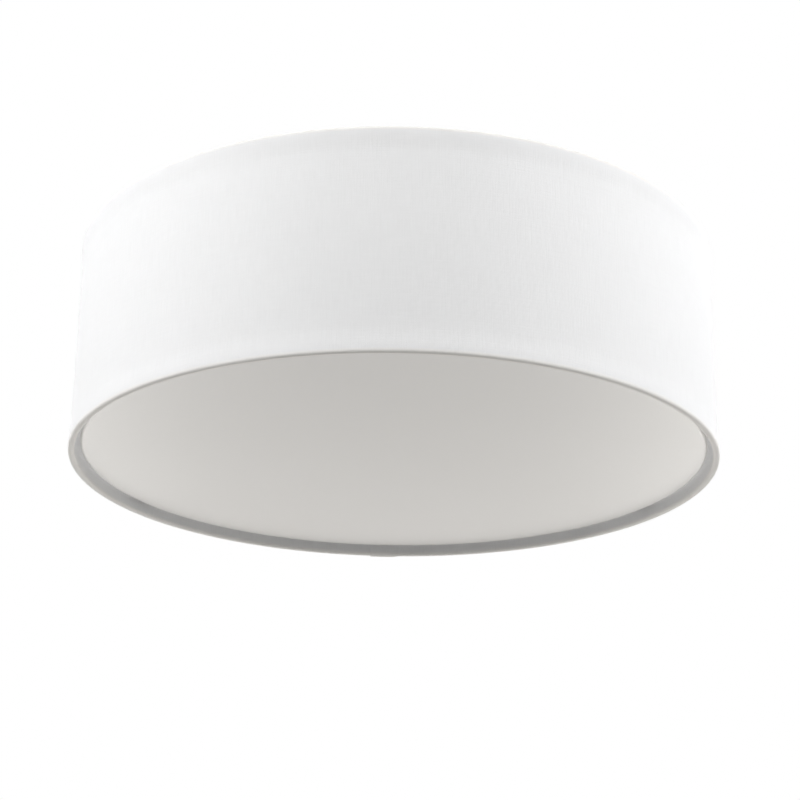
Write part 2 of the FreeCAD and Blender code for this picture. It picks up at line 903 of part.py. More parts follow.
def make_grommet():
    """The rubber bush that lines the cable hole, with a lip on each face of the sheet."""
    body = new_body("cable_grommet")
    neck = s.cable_hole_diameter / 2 - s.fit_gap
    lip = s.cable_hole_diameter / 2 + s.grommet_lip
    bore = s.grommet_bore / 2
    low = -s.fit_gap - s.grommet_lip_thickness
    high = s.pan_sheet + s.fit_gap + s.grommet_lip_thickness
    corners = [
        (bore, low),
        (lip, low),
        (lip, -s.fit_gap),
        (neck, -s.fit_gap),
        (neck, s.pan_sheet + s.fit_gap),
        (lip, s.pan_sheet + s.fit_gap),
        (lip, high),
        (bore, high),
    ]
    revolve(outline(upright_sketch(body, "bush_section"), corners), "bush")
    move_to(body, cable_hole_x, cable_hole_y, plate_z)


def make_stud(place):
    """A clinch stud: its head lies on the plate, and its shank points down."""
    body = new_body(f"shade_stud_{place + 1}")
    radius = s.stud_diameter / 2
    chamfer = s.stud_diameter / 8
    head_z = s.pan_sheet + s.fit_gap
    corners = [
        (0, -s.stud_length),
        (radius - chamfer, -s.stud_length),
        (radius, chamfer - s.stud_length),
        (radius, head_z),
        (s.stud_head_diameter / 2, head_z),
        (s.stud_head_diameter / 2, head_z + s.stud_head_height),
        (0, head_z + s.stud_head_height),
    ]
    revolve(outline(upright_sketch(body, "stud_section"), corners), "stud")
    place_round(body, place, stud_circle, plate_z)


def make_nut(place):
    """A knurled nut with a collar, and the washer over it."""
    bore = s.stud_diameter / 2 + s.fit_gap
    washer = new_body(f"washer_{place + 1}")
    section = rectangle(
        upright_sketch(washer, "washer_section"),
        bore,
        0,
        s.washer_diameter / 2,
        s.washer_thickness,
    )
    revolve(section, "ring")
    place_round(washer, place, stud_circle, washer_bottom_z)

    nut = new_body(f"knurled_nut_{place + 1}")
    rim = s.nut_diameter / 2
    collar = s.nut_collar_diameter / 2
    collar_foot = -s.nut_collar_height
    foot = collar_foot - s.nut_height
    corners = [
        (bore, 0),
        (bore, foot),
        (rim - s.knurl_depth, foot),
        (rim, foot + s.knurl_depth),
        (rim, collar_foot - s.knurl_depth),
        (rim - s.knurl_depth, collar_foot),
        (collar, collar_foot),
        (collar, 0),
    ]
    revolve(outline(upright_sketch(nut, "nut_section"), corners), "nut")
    groove_sketch = new_sketch(nut, "groove_sketch", foot - s.fit_gap)
    outline(
        groove_sketch,
        [
            (rim - s.knurl_depth, 0),
            (rim + s.knurl_depth, -s.knurl_depth * 2),
            (rim + s.knurl_depth, s.knurl_depth * 2),
        ],
    )
    groove = pocket(groove_sketch, s.nut_height + s.fit_gap * 2, "groove", up=True)
    round_the_axis([groove], KNURLS, "knurl")
    place_round(nut, place, stud_circle, nut_top_z)


# ---- the LED board ----


def make_board():
    """The ring-shaped board that carries the LEDs, flat on the pan."""
    body = new_body("led_board")
    ring = new_sketch(body, "ring_sketch", plate_z)
    circle(ring, 0, 0, s.board_outer_radius)
    circle(ring, 0, 0, s.board_inner_radius)
    pad(ring, s.board_thickness, "board", down=True)
    hole = new_sketch(body, "screw_hole_sketch", turned=FIRST_ANGLE)
    circle(hole, s.board_screw_circle, 0, s.small_screw_diameter / 2 + s.screw_play)
    drilled = pocket(hole, None, "screw_hole")
    round_the_axis([drilled], BOARD_SCREWS, "screw_holes")


def make_chips():
    """The LEDs, in two rings on the board's lower face."""
    body = new_body("led_chips")
    chip_z = board_bottom_z - s.chip_height
    for name, radius, count in (
        ("inner_chip", s.inner_chip_circle, INNER_CHIPS),
        ("outer_chip", s.outer_chip_circle, OUTER_CHIPS),
    ):
        sketch = new_sketch(body, f"{name}_sketch", chip_z)
        rectangle(
            sketch,
            radius - s.chip_width / 2,
            -s.chip_length / 2,
            radius + s.chip_width / 2,
            s.chip_length / 2,
        )
        chip = pad(sketch, s.chip_height, name)
        round_the_axis([chip], count, f"{name}s")


def screw_section(body, radius, length, head_radius, head_height, along=None):
    """Half of a pan-head screw, its head down and the head's upper face at the body's origin."""
    edge = head_height / 3
    corners = [
        (0, -head_height),
        (head_radius - edge, -head_height),
        (head_radius, edge - head_height),
        (head_radius, 0),
        (radius, 0),
        (radius, length),
        (0, length),
    ]
    return outline(upright_sketch(body, "screw_section", along), corners)


def make_small_screws(label, count, circle_radius):
    """Cross-recessed screws, evenly on a circle round the body's origin, the first of them on +X."""
    body = new_body(label)
    section = screw_section(
        body,
        s.small_screw_diameter / 2,
        s.small_screw_length,
        s.small_head_diameter / 2,
        s.small_head_height,
        circle_radius,
    )
    features = [revolve(section, "screw")]
    for name, along, across in (
        ("recess", s.recess_length / 2, s.recess_width / 2),
        ("cross_recess", s.recess_width / 2, s.recess_length / 2),
    ):
        sketch = new_sketch(
            body, f"{name}_sketch", offset=-s.small_head_height, along=circle_radius
        )
        rectangle(sketch, -along, -across, along, across)
        features.append(pocket(sketch, s.recess_depth, name, up=True))
    if count > 1:
        round_the_axis(features, count, "screws")
    return body


def make_connector():
    """The push-in connector on the board's inner edge."""
    low_x = s.connector_x - s.connector_length / 2
    low_y = s.lead_row + s.lead_spread / 2 - s.connector_width / 2
    low_z = board_bottom_z - s.connector_height
    body = box(
        "connector_body",
        (low_x, low_y, low_z),
        (s.connector_length, s.connector_width, s.connector_height),
    )
    tools = []
    for number in range(2):
        row_y = s.lead_row + s.lead_spread * number
        tools.append(
            cylinder(
                f"connector_hole_{number + 1}",
                s.connector_hole / 2,
                s.connector_length / 2,
                (low_x, row_y, connector_lead_z),
                ALONG_X,
            )
        )
        tools.append(
            box(
                f"connector_key_{number + 1}",
                (low_x + s.connector_length / 2, row_y - lead_radius, low_z),
                (s.connector_length / 4, s.lead_diameter, s.connector_height / 5),
            )
        )
    keep(cut("connector", body, tools), "board_connector")


# ---- the driver ----


def rounded_outline(body, name, low_z, length, width, corner):
    """A level sketch of a rectangle round the body's middle, with round corners."""
    sketch = new_sketch(body, f"{name}_sketch", low_z)
    x, y = length / 2, width / 2
    corners = [
        (corner - x, -y),
        (x - corner, -y),
        (x, corner - y),
        (x, y - corner),
        (x - corner, y),
        (corner - x, y),
        (-x, y - corner),
        (-x, corner - y),
    ]
    arcs = {
        1: ("plumb", 0, None),
        3: ("level", 0, None),
        5: ("plumb", 0, None),
        7: ("level", 0, None),
    }
    outline(sketch, corners, arcs)
    return sketch


def make_driver_base():
    """The driver's base plate, with its two ears and the posts under its board."""
    body = new_body("driver_base")
    plate = rounded_outline(
        body, "plate", -s.driver_wall, s.driver_length, s.driver_width, s.driver_corner
    )
    pad(plate, s.driver_wall, "plate")
    ears = new_sketch(body, "ear_sketch", -s.driver_wall)
    obround(
        ears,
        0,
        0,
        s.driver_length / 2 + s.driver_ear - s.driver_ear_width / 2,
        s.driver_ear_width / 2,
    )
    pad(ears, s.driver_wall, "ears")
    holes = new_sketch(body, "ear_holes_sketch")
    for x in (ear_x, -ear_x):
        circle(holes, x, 0, s.small_screw_diameter / 2 + s.screw_play)
    pocket(holes, None, "ear_holes")
    posts = new_sketch(body, "post_sketch", -s.driver_wall)
    post_x = s.driver_length / 2 - s.driver_wall - s.driver_corner - s.driver_post_diameter
    post_y = s.driver_width / 2 - s.driver_wall - s.driver_post_diameter
    for x in (post_x, -post_x):
        for y in (post_y, -post_y):
            circle(posts, x, y, s.driver_post_diameter / 2)
    pad(posts, s.driver_post_height, "posts", down=True)
    move_to(body, 0, s.driver_y, plate_z)


def make_driver_cover():
    """The driver's cover: an open box with a hole for each lead and a row of vents."""
    body = new_body("driver_cover")
    depth = s.driver_height - s.driver_wall
    top = -s.driver_wall - s.fit_gap
    shell = rounded_outline(
        body, "shell", top, s.driver_length, s.driver_width, s.driver_corner
    )
    block = pad(shell, depth, "block", down=True)

    def lower_edge(edge):
        return near(edge.BoundBox.ZMin, top - depth) and near(edge.BoundBox.ZMax, top - depth)

    fillet_where(block, s.driver_wall, lower_edge, "soft_edge")
    hollow = rounded_outline(
        body,
        "hollow",
        top,
        s.driver_length - s.driver_wall * 2,
        s.driver_width - s.driver_wall * 2,
        s.driver_corner - s.driver_wall,
    )
    pocket(hollow, depth - s.driver_wall, "hollow")
    ends = new_sketch(body, "lead_holes_sketch", plane="YZ_Plane")
    for number in range(2):
        circle(
            ends,
            s.lead_row + s.lead_spread * number - s.driver_y,
            -s.lead_drop,
            lead_radius + s.fit_gap * 2,
        )
    pocket(ends, None, "lead_holes")
    vent = new_sketch(body, "vent_sketch", top - depth)
    vent_pitch = s.driver_length / 8
    for number in range(-2, 3):
        x = vent_pitch * number
        rectangle(
            vent,
            x - s.driver_wall / 2,
            -s.driver_width / 5,
            x + s.driver_wall / 2,
            s.driver_width / 5,
        )
    pocket(vent, s.driver_wall * 1.5, "vents", up=True)
    move_to(body, 0, s.driver_y, plate_z)


def make_driver_board():
    """The driver's circuit board with its transformer, capacitor and choke, under the posts."""
    top = plate_z - s.driver_wall - s.driver_post_height - s.fit_gap
    bottom = top - s.driver_board_thickness
    inner_x = s.driver_length / 2 - s.driver_wall * 2
    inner_y = s.driver_width / 2 - s.driver_wall * 2
    board = box(
        "driver_board_plate",
        (-inner_x, s.driver_y - inner_y, bottom),
        (inner_x * 2, inner_y * 2, s.driver_board_thickness),
    )
    room = bottom - (plate_z - s.driver_height + s.driver_wall * 2)
    transformer = box(
        "transformer",
        (-inner_x / 4, s.driver_y - inner_y / 4, bottom - room * 0.9),
        (inner_x / 2, inner_y, room * 0.9),
    )
    row_y = s.driver_y + inner_y / 3
    capacitor = cylinder(
        "capacitor", room * 0.4, room * 0.9, (-inner_x / 2, row_y, bottom - room * 0.9)
    )
    choke = cylinder("choke", room * 0.3, room * 0.6, (inner_x / 2, row_y, bottom - room * 0.6))
    keep(fuse("driver_parts", [board, transformer, capacitor, choke]), "driver_board")


# ---- the terminal block ----


def pole_x(pole):
    return s.pole_pitch * (pole - (POLES - 1) / 2)


def screw_spots():
    """Where the block's screws stand, two to a pole: a name, and the X and Y of each."""
    spots = []
    for pole in range(POLES):
        for side, y in (("front", s.block_y - s.turret_offset), ("back", s.block_y + s.turret_offset)):
            spots.append((f"{pole + 1}_{side}", pole_x(pole), y))
    return spots


def make_terminal_block():
    """The block's moulding: a housing for each pole, joined by a web, with a turret over each screw."""
    width, height = s.block_width, s.block_height
    low_y = s.block_y - width / 2
    length = s.pole_pitch * (POLES - 1) + s.pole_width
    pieces = [
        box(
            "block_web",
            (pole_x(0) - s.pole_width / 2, low_y + width / 4, plate_z - s.block_web_height),
            (length, width / 2, s.block_web_height),
        )
    ]
    bores = []
    for pole in range(POLES):
        x = pole_x(pole)
        pieces.append(
            box(
                f"pole_{pole + 1}",
                (x - s.pole_width / 2, low_y, plate_z - height),
                (s.pole_width, width, height),
            )
        )
        bores.append(
            cylinder(
                f"pole_bore_{pole + 1}",
                s.clamp_diameter / 2 + s.fit_gap,
                width,
                (x, low_y, lead_z),
                ALONG_Y,
            )
        )
    turret_foot_z = plate_z - height - s.turret_height
    for name, x, y in screw_spots():
        pieces.append(
            cylinder(
                f"turret_{name}",
                s.turret_diameter / 2,
                s.turret_height,
                (x, y, turret_foot_z),
            )
        )
        bores.append(
            cylinder(
                f"turret_bore_{name}",
                s.clamp_screw_diameter / 2 + s.screw_play,
                lead_z - turret_foot_z,
                (x, y, turret_foot_z),
            )
        )
    screw_x = s.pole_pitch / 2
    bores.append(
        cylinder(
            "fixing_hole",
            s.small_screw_diameter / 2 + s.screw_play,
            s.block_web_height,
            (screw_x, s.block_y, plate_z - s.block_web_height),
        )
    )
    bores.append(
        cylinder(
            "fixing_relief",
            s.small_head_diameter / 2 + s.screw_play,
            height - s.block_web_height,
            (screw_x, s.block_y, plate_z - height),
        )
    )
    keep(cut("moulding", fuse("block_parts", pieces), bores), "terminal_block")


def make_clamps():
    """The brass tubes in the poles, each tapped for its two screws."""
    tubes = []
    bores = []
    low_y = s.block_y - s.clamp_length / 2
    for pole in range(POLES):
        x = pole_x(pole)
        end = (x, low_y, lead_z)
        tubes.append(
            cylinder(f"tube_{pole + 1}", s.clamp_diameter / 2, s.clamp_length, end, ALONG_Y)
        )
        bores.append(
            cylinder(f"tube_bore_{pole + 1}", s.clamp_bore / 2, s.clamp_length, end, ALONG_Y)
        )
    for name, x, y in screw_spots():
        bores.append(
            cylinder(
                f"tapping_{name}",
                s.clamp_screw_diameter / 2 + s.fit_gap,
                s.clamp_diameter,
                (x, y, lead_z - s.clamp_diameter),
            )
        )
    keep(cut("clamps", fuse("tubes", tubes), bores), "terminal_clamps")


def make_clamp_screws():
    """The slotted screws that bear on the leads, two to a pole."""
    tip_z = lead_z - lead_radius - s.fit_gap
    foot_z = plate_z - s.block_height - s.turret_height + s.clamp_screw_slot
    length = tip_z - foot_z
    screws = []
    slots = []
    radius = s.clamp_screw_diameter / 2
    for name, x, y in screw_spots():
        screws.append(cylinder(f"clamp_screw_{name}", radius, length, (x, y, foot_z)))
        slots.append(
            box(
                f"clamp_slot_{name}",
                (x - radius, y - s.clamp_screw_slot / 2, foot_z),
                (s.clamp_screw_diameter, s.clamp_screw_slot, s.clamp_screw_slot * 2),
            )
        )
    keep(cut("clamp_screws", fuse("clamp_shanks", screws), slots), "terminal_screws")


# ---- the earth point ----


def make_earth_screw():
    body = new_body("earth_screw")
    section = screw_section(
        body,
        s.earth_screw_diameter / 2,
        s.small_screw_length,
        s.earth_head_diameter / 2,
        s.earth_head_height,
    )
    revolve(section, "screw")
    slot = new_sketch(body, "slot_sketch", -s.earth_head_height)
    half_width = s.recess_width / 2
    rectangle(slot, -s.earth_head_diameter / 2, -half_width, s.earth_head_diameter / 2, half_width)
    pocket(slot, s.recess_depth, "slot", up=True)
    move_to(body, s.earth_x, s.earth_y, plate_z - s.tag_thickness - s.fit_gap * 2)


def make_earth_tag():
    """The crimped ring terminal under the earth screw, its barrel pointing back."""
    top = plate_z - s.fit_gap
    low_z = top - s.tag_thickness
    barrel_radius = s.tag_barrel_diameter / 2
    barrel_y = s.earth_y + s.tag_diameter / 2 + s.tag_thickness
    ring = cylinder("tag_ring", s.tag_diameter / 2, s.tag_thickness, (s.earth_x, s.earth_y, low_z))
    neck = box(
        "tag_neck",
        (s.earth_x - barrel_radius, s.earth_y, low_z),
        (s.tag_barrel_diameter, s.tag_diameter / 2 + s.tag_thickness * 2, s.tag_thickness),
    )
    barrel = cylinder(
        "tag_barrel", barrel_radius, s.tag_barrel_length, (s.earth_x, barrel_y, tag_lead_z), ALONG_Y
    )
    hole = cylinder(
        "tag_hole",
        s.earth_screw_diameter / 2 + s.screw_play,
        s.tag_thickness,
        (s.earth_x, s.earth_y, low_z),
    )
    bore = cylinder(
        "tag_bore",
        lead_radius + s.fit_gap,
        s.tag_barrel_length - s.tag_thickness,
        (s.earth_x, barrel_y + s.tag_thickness, tag_lead_z),
        ALONG_Y,
    )
    keep(cut("tag", fuse("tag_parts", [ring, neck, barrel]), [hole, bore]), "earth_tag")


# ---- the leads ----


def smooth_route(points):
    """A wire of straight runs with a tangent arc at each point, as large as the runs allow."""
    edges = []
    start = points[0]
    for before, corner, after in zip(points, points[1:], points[2:]):
        back, ahead = before - corner, after - corner
        turn = math.pi - back.getAngle(ahead)
        reach = 0.45 * min(back.Length, ahead.Length)
        radius = reach / math.tan(turn / 2)
        arc_start = corner + back.normalize() * reach
        arc_end = corner + ahead.normalize() * reach
        inward = (back + ahead).normalize()
        middle = corner + inward * (radius / math.cos(turn / 2) - radius)
        edges.append(Part.LineSegment(start, arc_start).toShape())
        edges.append(Part.Arc(arc_start, middle, arc_end).toShape())
        start = arc_end
    edges.append(Part.LineSegment(start, points[-1]).toShape())
    return Part.Wire(edges)


def make_lead(label, route):
    """An insulated lead along its route, whose points are sizes."""
    points = [Vector(*(value_of(number) for number in point)) for point in route]
    path = smooth_route(points)
    section = Part.Wire(
        Part.Circle(points[0], points[1] - points[0], value_of(lead_radius)).toShape()
    )
    tube = Part.BRepOffsetAPI.MakePipeShell(path)
    tube.add(section)
    tube.build()
    tube.makeSolid()
    whole = math.pi * value_of(lead_radius) ** 2 * path.Length
    if abs(tube.shape().Volume - whole) > whole / 100:
        raise RuntimeError(f"{label} isn't its section all along its route")
    lead = doc.addObject("Part::Feature", label)
    lead.Shape = tube.shape()
    keep(lead, label)


def make_leads():
    """The live, neutral and earth leads from the block, and the two that feed the LED board."""
    in_block = s.block_y + s.turret_offset - lead_radius
    behind_block = s.block_y + s.block_width / 2
    row = s.lead_row
    next_row = s.lead_row + s.lead_spread
    end_x = s.driver_length / 2 - s.driver_wall
    outer_x = s.driver_length / 2 + s.driver_ear
    near_y = behind_block + s.lead_spread * 1.3
    far_y = near_y + s.lead_diameter * 1.8
    make_lead(
        "lead_live",
        [
            (pole_x(0), in_block, lead_z),
            (pole_x(0), near_y, lead_z),
            (-outer_x - s.lead_spread, near_y + s.lead_diameter / 2, lead_z),
            (-outer_x - s.lead_spread, next_row, lead_z),
            (-end_x, next_row, lead_z),
        ],
    )
    make_lead(
        "lead_neutral",
        [
            (pole_x(1), in_block, lead_z),
            (pole_x(1), far_y, lead_z),
            (-outer_x, far_y, lead_z),
            (-outer_x, row, lead_z),
            (-end_x, row, lead_z),
        ],
    )
    make_lead(
        "lead_earth",
        [
            (pole_x(2), in_block, lead_z),
            (pole_x(2), far_y, lead_z),
            (s.earth_x, far_y, (lead_z + tag_lead_z) / 2),
            (s.earth_x, tag_mouth_y + s.lead_diameter, tag_lead_z),
            (s.earth_x, tag_mouth_y - s.tag_barrel_length / 2, tag_lead_z),
        ],
    )
    connector_end = s.connector_x - s.connector_length / 4
    connector_face = s.connector_x - s.connector_length / 2
    for label, y in (("lead_led_positive", row), ("lead_led_negative", next_row)):
        sag_x = (end_x + connector_face) / 2
        make_lead(
            label,
            [
                (end_x, y, lead_z),
                (end_x + s.lead_spread * 2, y, lead_z),
                (sag_x + s.lead_spread, y, lead_z - s.lead_diameter),
                (connector_face - s.lead_spread, y, connector_lead_z),
                (connector_end, y, connector_lead_z),
            ],
        )


# ---- building ----


def make_all():
    make_cloth()
    make_liner()
    make_ring("top_ring", top_ring_z)
    make_ring("bottom_ring", bottom_ring_z)
    make_diffuser()
    for place in range(PLACES):
        make_strap(place)
        make_tab(place)
        make_magnet(place)
        make_strike(place)
        make_stud(place)
        make_nut(place)
    make_pan()
    make_grommet()
    make_board()
    make_chips()

    board_screws = make_small_screws("board_screws", BOARD_SCREWS, s.board_screw_circle)
    move_to(board_screws, z=board_bottom_z, rotation=Rotation(Vector(0, 0, 1), FIRST_ANGLE))
    make_connector()
    make_driver_base()
    make_driver_cover()
    make_driver_board()
    driver_screws = make_small_screws("driver_screws", 2, ear_x)
    move_to(driver_screws, 0, s.driver_y, plate_z - s.driver_wall - s.fit_gap)
    make_terminal_block()
    make_clamps()
    make_clamp_screws()
    block_screw = make_small_screws("block_screw", 1, None)
    move_to(block_screw, s.pole_pitch / 2, s.block_y, plate_z - s.block_web_height - s.fit_gap)
    make_earth_screw()
    make_earth_tag()
    make_leads()


make_all()
doc.recompute()

for thing in doc.Objects:
    bad = [state for state in thing.State if state in ("Invalid", "Error")]
    if bad:
        raise RuntimeError(f"{thing.Name} is {bad}")
for thing in subparts:
    if thing.Shape.isNull() or not thing.Shape.isValid():
        raise RuntimeError(f"{thing.Label} has no valid shape")

os.makedirs("parts", exist_ok=True)
for thing in subparts:
    thing.Shape.exportStep(f"parts/{thing.Label}.step")
    print(f"{thing.Label}: {len(thing.Shape.Solids)} solids, {thing.Shape.Volume:.1f} mm3")
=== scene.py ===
"""Flush mount ceiling light: the looks of its drum, its opal disc and its LED unit.

Metres, in the part's own frame: +Z up, the ceiling at Z 0, the front along -Y.
"""
import math

import bmesh
import bpy
from mathutils import Matrix, Vector, noise


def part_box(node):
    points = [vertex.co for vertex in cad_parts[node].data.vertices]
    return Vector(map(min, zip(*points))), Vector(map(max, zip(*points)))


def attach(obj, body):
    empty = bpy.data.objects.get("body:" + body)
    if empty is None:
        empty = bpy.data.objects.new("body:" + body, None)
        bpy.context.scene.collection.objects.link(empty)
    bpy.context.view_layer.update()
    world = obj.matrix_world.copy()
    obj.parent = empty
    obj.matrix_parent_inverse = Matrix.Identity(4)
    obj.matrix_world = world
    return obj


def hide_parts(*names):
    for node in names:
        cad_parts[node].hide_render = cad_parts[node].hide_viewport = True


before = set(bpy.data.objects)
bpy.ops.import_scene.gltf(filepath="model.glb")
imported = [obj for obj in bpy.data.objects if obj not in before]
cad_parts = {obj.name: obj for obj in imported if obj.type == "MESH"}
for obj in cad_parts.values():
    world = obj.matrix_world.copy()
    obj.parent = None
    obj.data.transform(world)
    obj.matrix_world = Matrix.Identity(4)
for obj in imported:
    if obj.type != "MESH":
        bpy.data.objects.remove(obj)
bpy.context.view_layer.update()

# The drum's cloth, with the values of the part's source.
DRUM_RADIUS = 0.1500
WAIST_INSET = 0.0007
WAIST_RUN = 0.010
CLOTH = 0.0004
RING_RADIUS = 0.14845
RING_WIRE = 0.00085
TOP_RING_Z = -0.00155
BOTTOM_RING_Z = -0.09845
TOP_RISE = 0.0016
BOTTOM_RISE = 0.0054
HEM_LEAN = 0.0017
HEM_DEPTH = 0.012
HEM_FACE = 0.1469
TURN_IN_FACE = 0.1477
LINER_FACE = 0.1483
LAP_WIDTH = 0.012
LAP_ANGLE = math.radians(90)
FIRST_ANGLE = math.radians(30)
PLACES = 3
STRAP_NOTCH = 0.0075
TAB_NOTCH = 0.0055

# What the looks add to the cloth.
STEPS_ROUND = 288
LAP_STEPS = 5
BEND_STEPS = 16
SWELL_STEPS = 8
PRESSED = 2.8  # the power of the hems' section, where 2 is a circle
LAP_STEP = 0.00043
LAP_CLIMB = 0.020  # the turn, in radians, over which the lap climbs
NOTCH_PAST = 0.002  # how far a notch is cut past the cloth's end
NOTCH_REACH = 3  # half widths from a notch's middle in which faces are cut
WAVER_RUN = 0.0105  # how far from its end the turned-in cloth wavers
WAVER_WAVES = 9
WAVER_UP = 20
END_WAVER = 0.0005
PUCKER_WAVES = 3.1
PUCKER_SHIFT = Vector((0, 0, 7))
PUCKER = 0.00012
CUT_EDGE = 0.0001
SHARP = math.radians(50)
WARP_PITCH = 0.00042
WEFT_PITCH = 0.00048
WANDER = 260.0  # waves a metre, as are the next three
UPRIGHT_SLUBS = (1900, 85, 1)
LEVEL_SLUBS = (75, 1700, 1)
PATCHES = 45.0
WEAVE_RELIEF = 0.00007
# Where the painted warm light lies: along the folds of the hems.
FOLD_RUN = 0.0510  # along the cloth from its middle to each fold
FOLD_HALF = 0.0024

# The LEDs on their board.
BOARD_FACE = -0.0166
INNER_RING = 0.066
OUTER_RING = 0.079
INNER_CHIPS = 16
OUTER_CHIPS = 24
CHIP_WIDE = 0.0028
CHIP_LONG = 0.0035
CHIP_HIGH = 0.0007
CHIP_REACH = 0.004  # every face of a chip lies within this of its middle
GEL_INDEX = 1
TIN_INDEX = 2
CHIP_MARGIN = 0.0002
PADS_RUN = 0.0009
HOUSING_EDGE = 0.00012
WINDOW_FRAME = 0.00020
WINDOW_WALL = 0.00010
WINDOW_DEPTH = 0.00014
FILLET_TOE = 0.00040
FILLET_CREST = 0.00012
TRACKS = ((0.0610, 0.0016), (0.0703, 0.0014), (0.0748, 0.0012), (0.0836, 0.0013))
TRACK_EDGE = 0.00015

# The camera of the photograph.
CAMERA_PLACE = (0, -0.8646, -0.3821)
CAMERA_YAW = math.radians(0.168)
CAMERA_PITCH = math.radians(20.13)
CAMERA_ROLL = math.radians(0.674)
CAMERA_LENS = 87.93
CAMERA_SENSOR = 36

# The studio, where a level of 1 is white.
WORLD_LEVEL = 0.16
FLOOR_Z = -1.3
FLOOR_SIZE = 6
FLOOR_TONE = 0.8
FLOOR_LIFT = 0.68
LAMP_AIM = Vector((0, 0, -0.05))
PLAIN = (1.0, 1.0, 1.0)
COOL = (0.982, 0.986, 1.0)
WARM = (1.0, 0.98, 0.945)
LAMPS = (
    # name, place, size, watts, colour
    ("front_softbox", (0.0, -0.90, 0.50), 0.6, 2.7, PLAIN),
    ("front_left_softbox", (-0.40, -0.80, 0.30), 0.5, 1.3, PLAIN),
    ("front_right_softbox", (0.40, -0.80, 0.30), 0.5, 0.7, PLAIN),
    ("side_left_softbox", (-0.68, -0.54, 0.35), 0.6, 3.15, PLAIN),
    ("side_right_softbox", (0.68, -0.54, 0.35), 0.6, 2.4, PLAIN),
    ("far_left_softbox", (-0.85, -0.10, 0.10), 0.5, 3.3, COOL),
    ("far_right_softbox", (0.85, -0.10, 0.10), 0.5, 4.3, COOL),
    ("low_left_softbox", (-0.45, 0.75, -0.45), 0.5, 2.4, WARM),
    ("low_right_softbox", (0.45, 0.75, -0.45), 0.5, 2.8, WARM),
    ("under_softbox", (0.0, 0.0, -0.95), 0.8, 1.15, WARM),
    ("light_through_the_drum", (0.0, 0.0, -0.025), 0.2, 0.09, PLAIN),
)

AXIS = Vector((0, 0, 1))
MIDDLE = Vector((0, 0, 0))


# ---------------------------------------------------------------- node trees


def node(tree, kind, inputs=None, **settings):
    """Adds one node; an input is a plain value or another node's socket."""
    made = tree.nodes.new(kind)
    for name, value in settings.items():
        setattr(made, name, value)
    for name, value in (inputs or {}).items():
        if isinstance(value, bpy.types.NodeSocket):
            tree.links.new(value, made.inputs[name])
        else:
            made.inputs[name].default_value = value
    return made


def sums(tree, operation, first, second=0.0, third=0.0):
    """One arithmetic step on sockets or numbers."""
    inputs = {0: first, 1: second, 2: third}
    return node(tree, "ShaderNodeMath", inputs, operation=operation).outputs[0]


def vectors(tree, operation, first, second, third=(0, 0, 0)):
    """One arithmetic step on vectors."""
    inputs = {0: first, 1: second, 2: third}
    made = node(tree, "ShaderNodeVectorMath", inputs, operation=operation)
    return made.outputs["Vector"]


def length_of(tree, vector):
    """How long a vector is."""
    made = node(tree, "ShaderNodeVectorMath", {0: vector}, operation="LENGTH")
    return made.outputs["Value"]


def own_place(tree):
    """The coordinates that ride with the piece."""
    return node(tree, "ShaderNodeTexCoord").outputs["Object"]


def spread(tree, value, low, high, to_low, to_high):
    """Maps a range of a socket onto another range."""
    inputs = {
        "Value": value,
        "From Min": low,
        "From Max": high,
        "To Min": to_low,
        "To Max": to_high,
    }
    return node(tree, "ShaderNodeMapRange", inputs).outputs["Result"]


def mixed(tree, share, first, second):
    """A colour between two others."""
    made = node(tree, "ShaderNodeMix", data_type="RGBA")
    wanted = (("Factor_Float", share), ("A_Color", first), ("B_Color", second))
    for socket, value in wanted:
        target = next(i for i in made.inputs if i.identifier == socket)
        if isinstance(value, bpy.types.NodeSocket):
            tree.links.new(value, target)
        else:
            target.default_value = value
    return next(o for o in made.outputs if o.identifier == "Result_Color")


def grey(level, warmth=0.0):
    """A neutral colour, or one that leans to yellow by a small share."""
    return (level * (1 + warmth), level, level * (1 - warmth), 1.0)


def scaled(tree, place, scale, centre=(0, 0, 0)):
    """Coordinates about a centre, stretched along each axis."""
    moved = vectors(tree, "SUBTRACT", place, centre)
    return vectors(tree, "MULTIPLY", moved, scale)


def clouds(tree, place, scale, detail=2.0, roughness=0.5):
    """Fine noise at a scale in waves a metre."""
    inputs = {"Vector": place, "Scale": scale, "Detail": detail, "Roughness": roughness}
    return node(tree, "ShaderNodeTexNoise", inputs).outputs["Fac"]


def bumped(tree, height, depth, strength=1.0):
    """A surface that is raised by up to a depth in metres."""
    inputs = {"Height": height, "Distance": depth, "Strength": strength}
    return node(tree, "ShaderNodeBump", inputs).outputs["Normal"]


def dimmed(colour, share):
    """The same colour, darker by a share."""
    return tuple(part * share for part in colour[:3]) + (1,)


def new_finish(name, **fixed):
    """A material with its uniform values set on the shader's own sockets."""
    material = bpy.data.materials.new(name)
    material.use_nodes = True
    tree = material.node_tree
    shader = tree.nodes["Principled BSDF"]
    for socket, value in fixed.items():
        shader.inputs[socket.replace("_", " ")].default_value = value
    return material, tree, shader


def feed(tree, shader, **sockets):
    """Links sockets to the shader's inputs of the same names."""
    for socket, value in sockets.items():
        tree.links.new(value, shader.inputs[socket.replace("_", " ")])
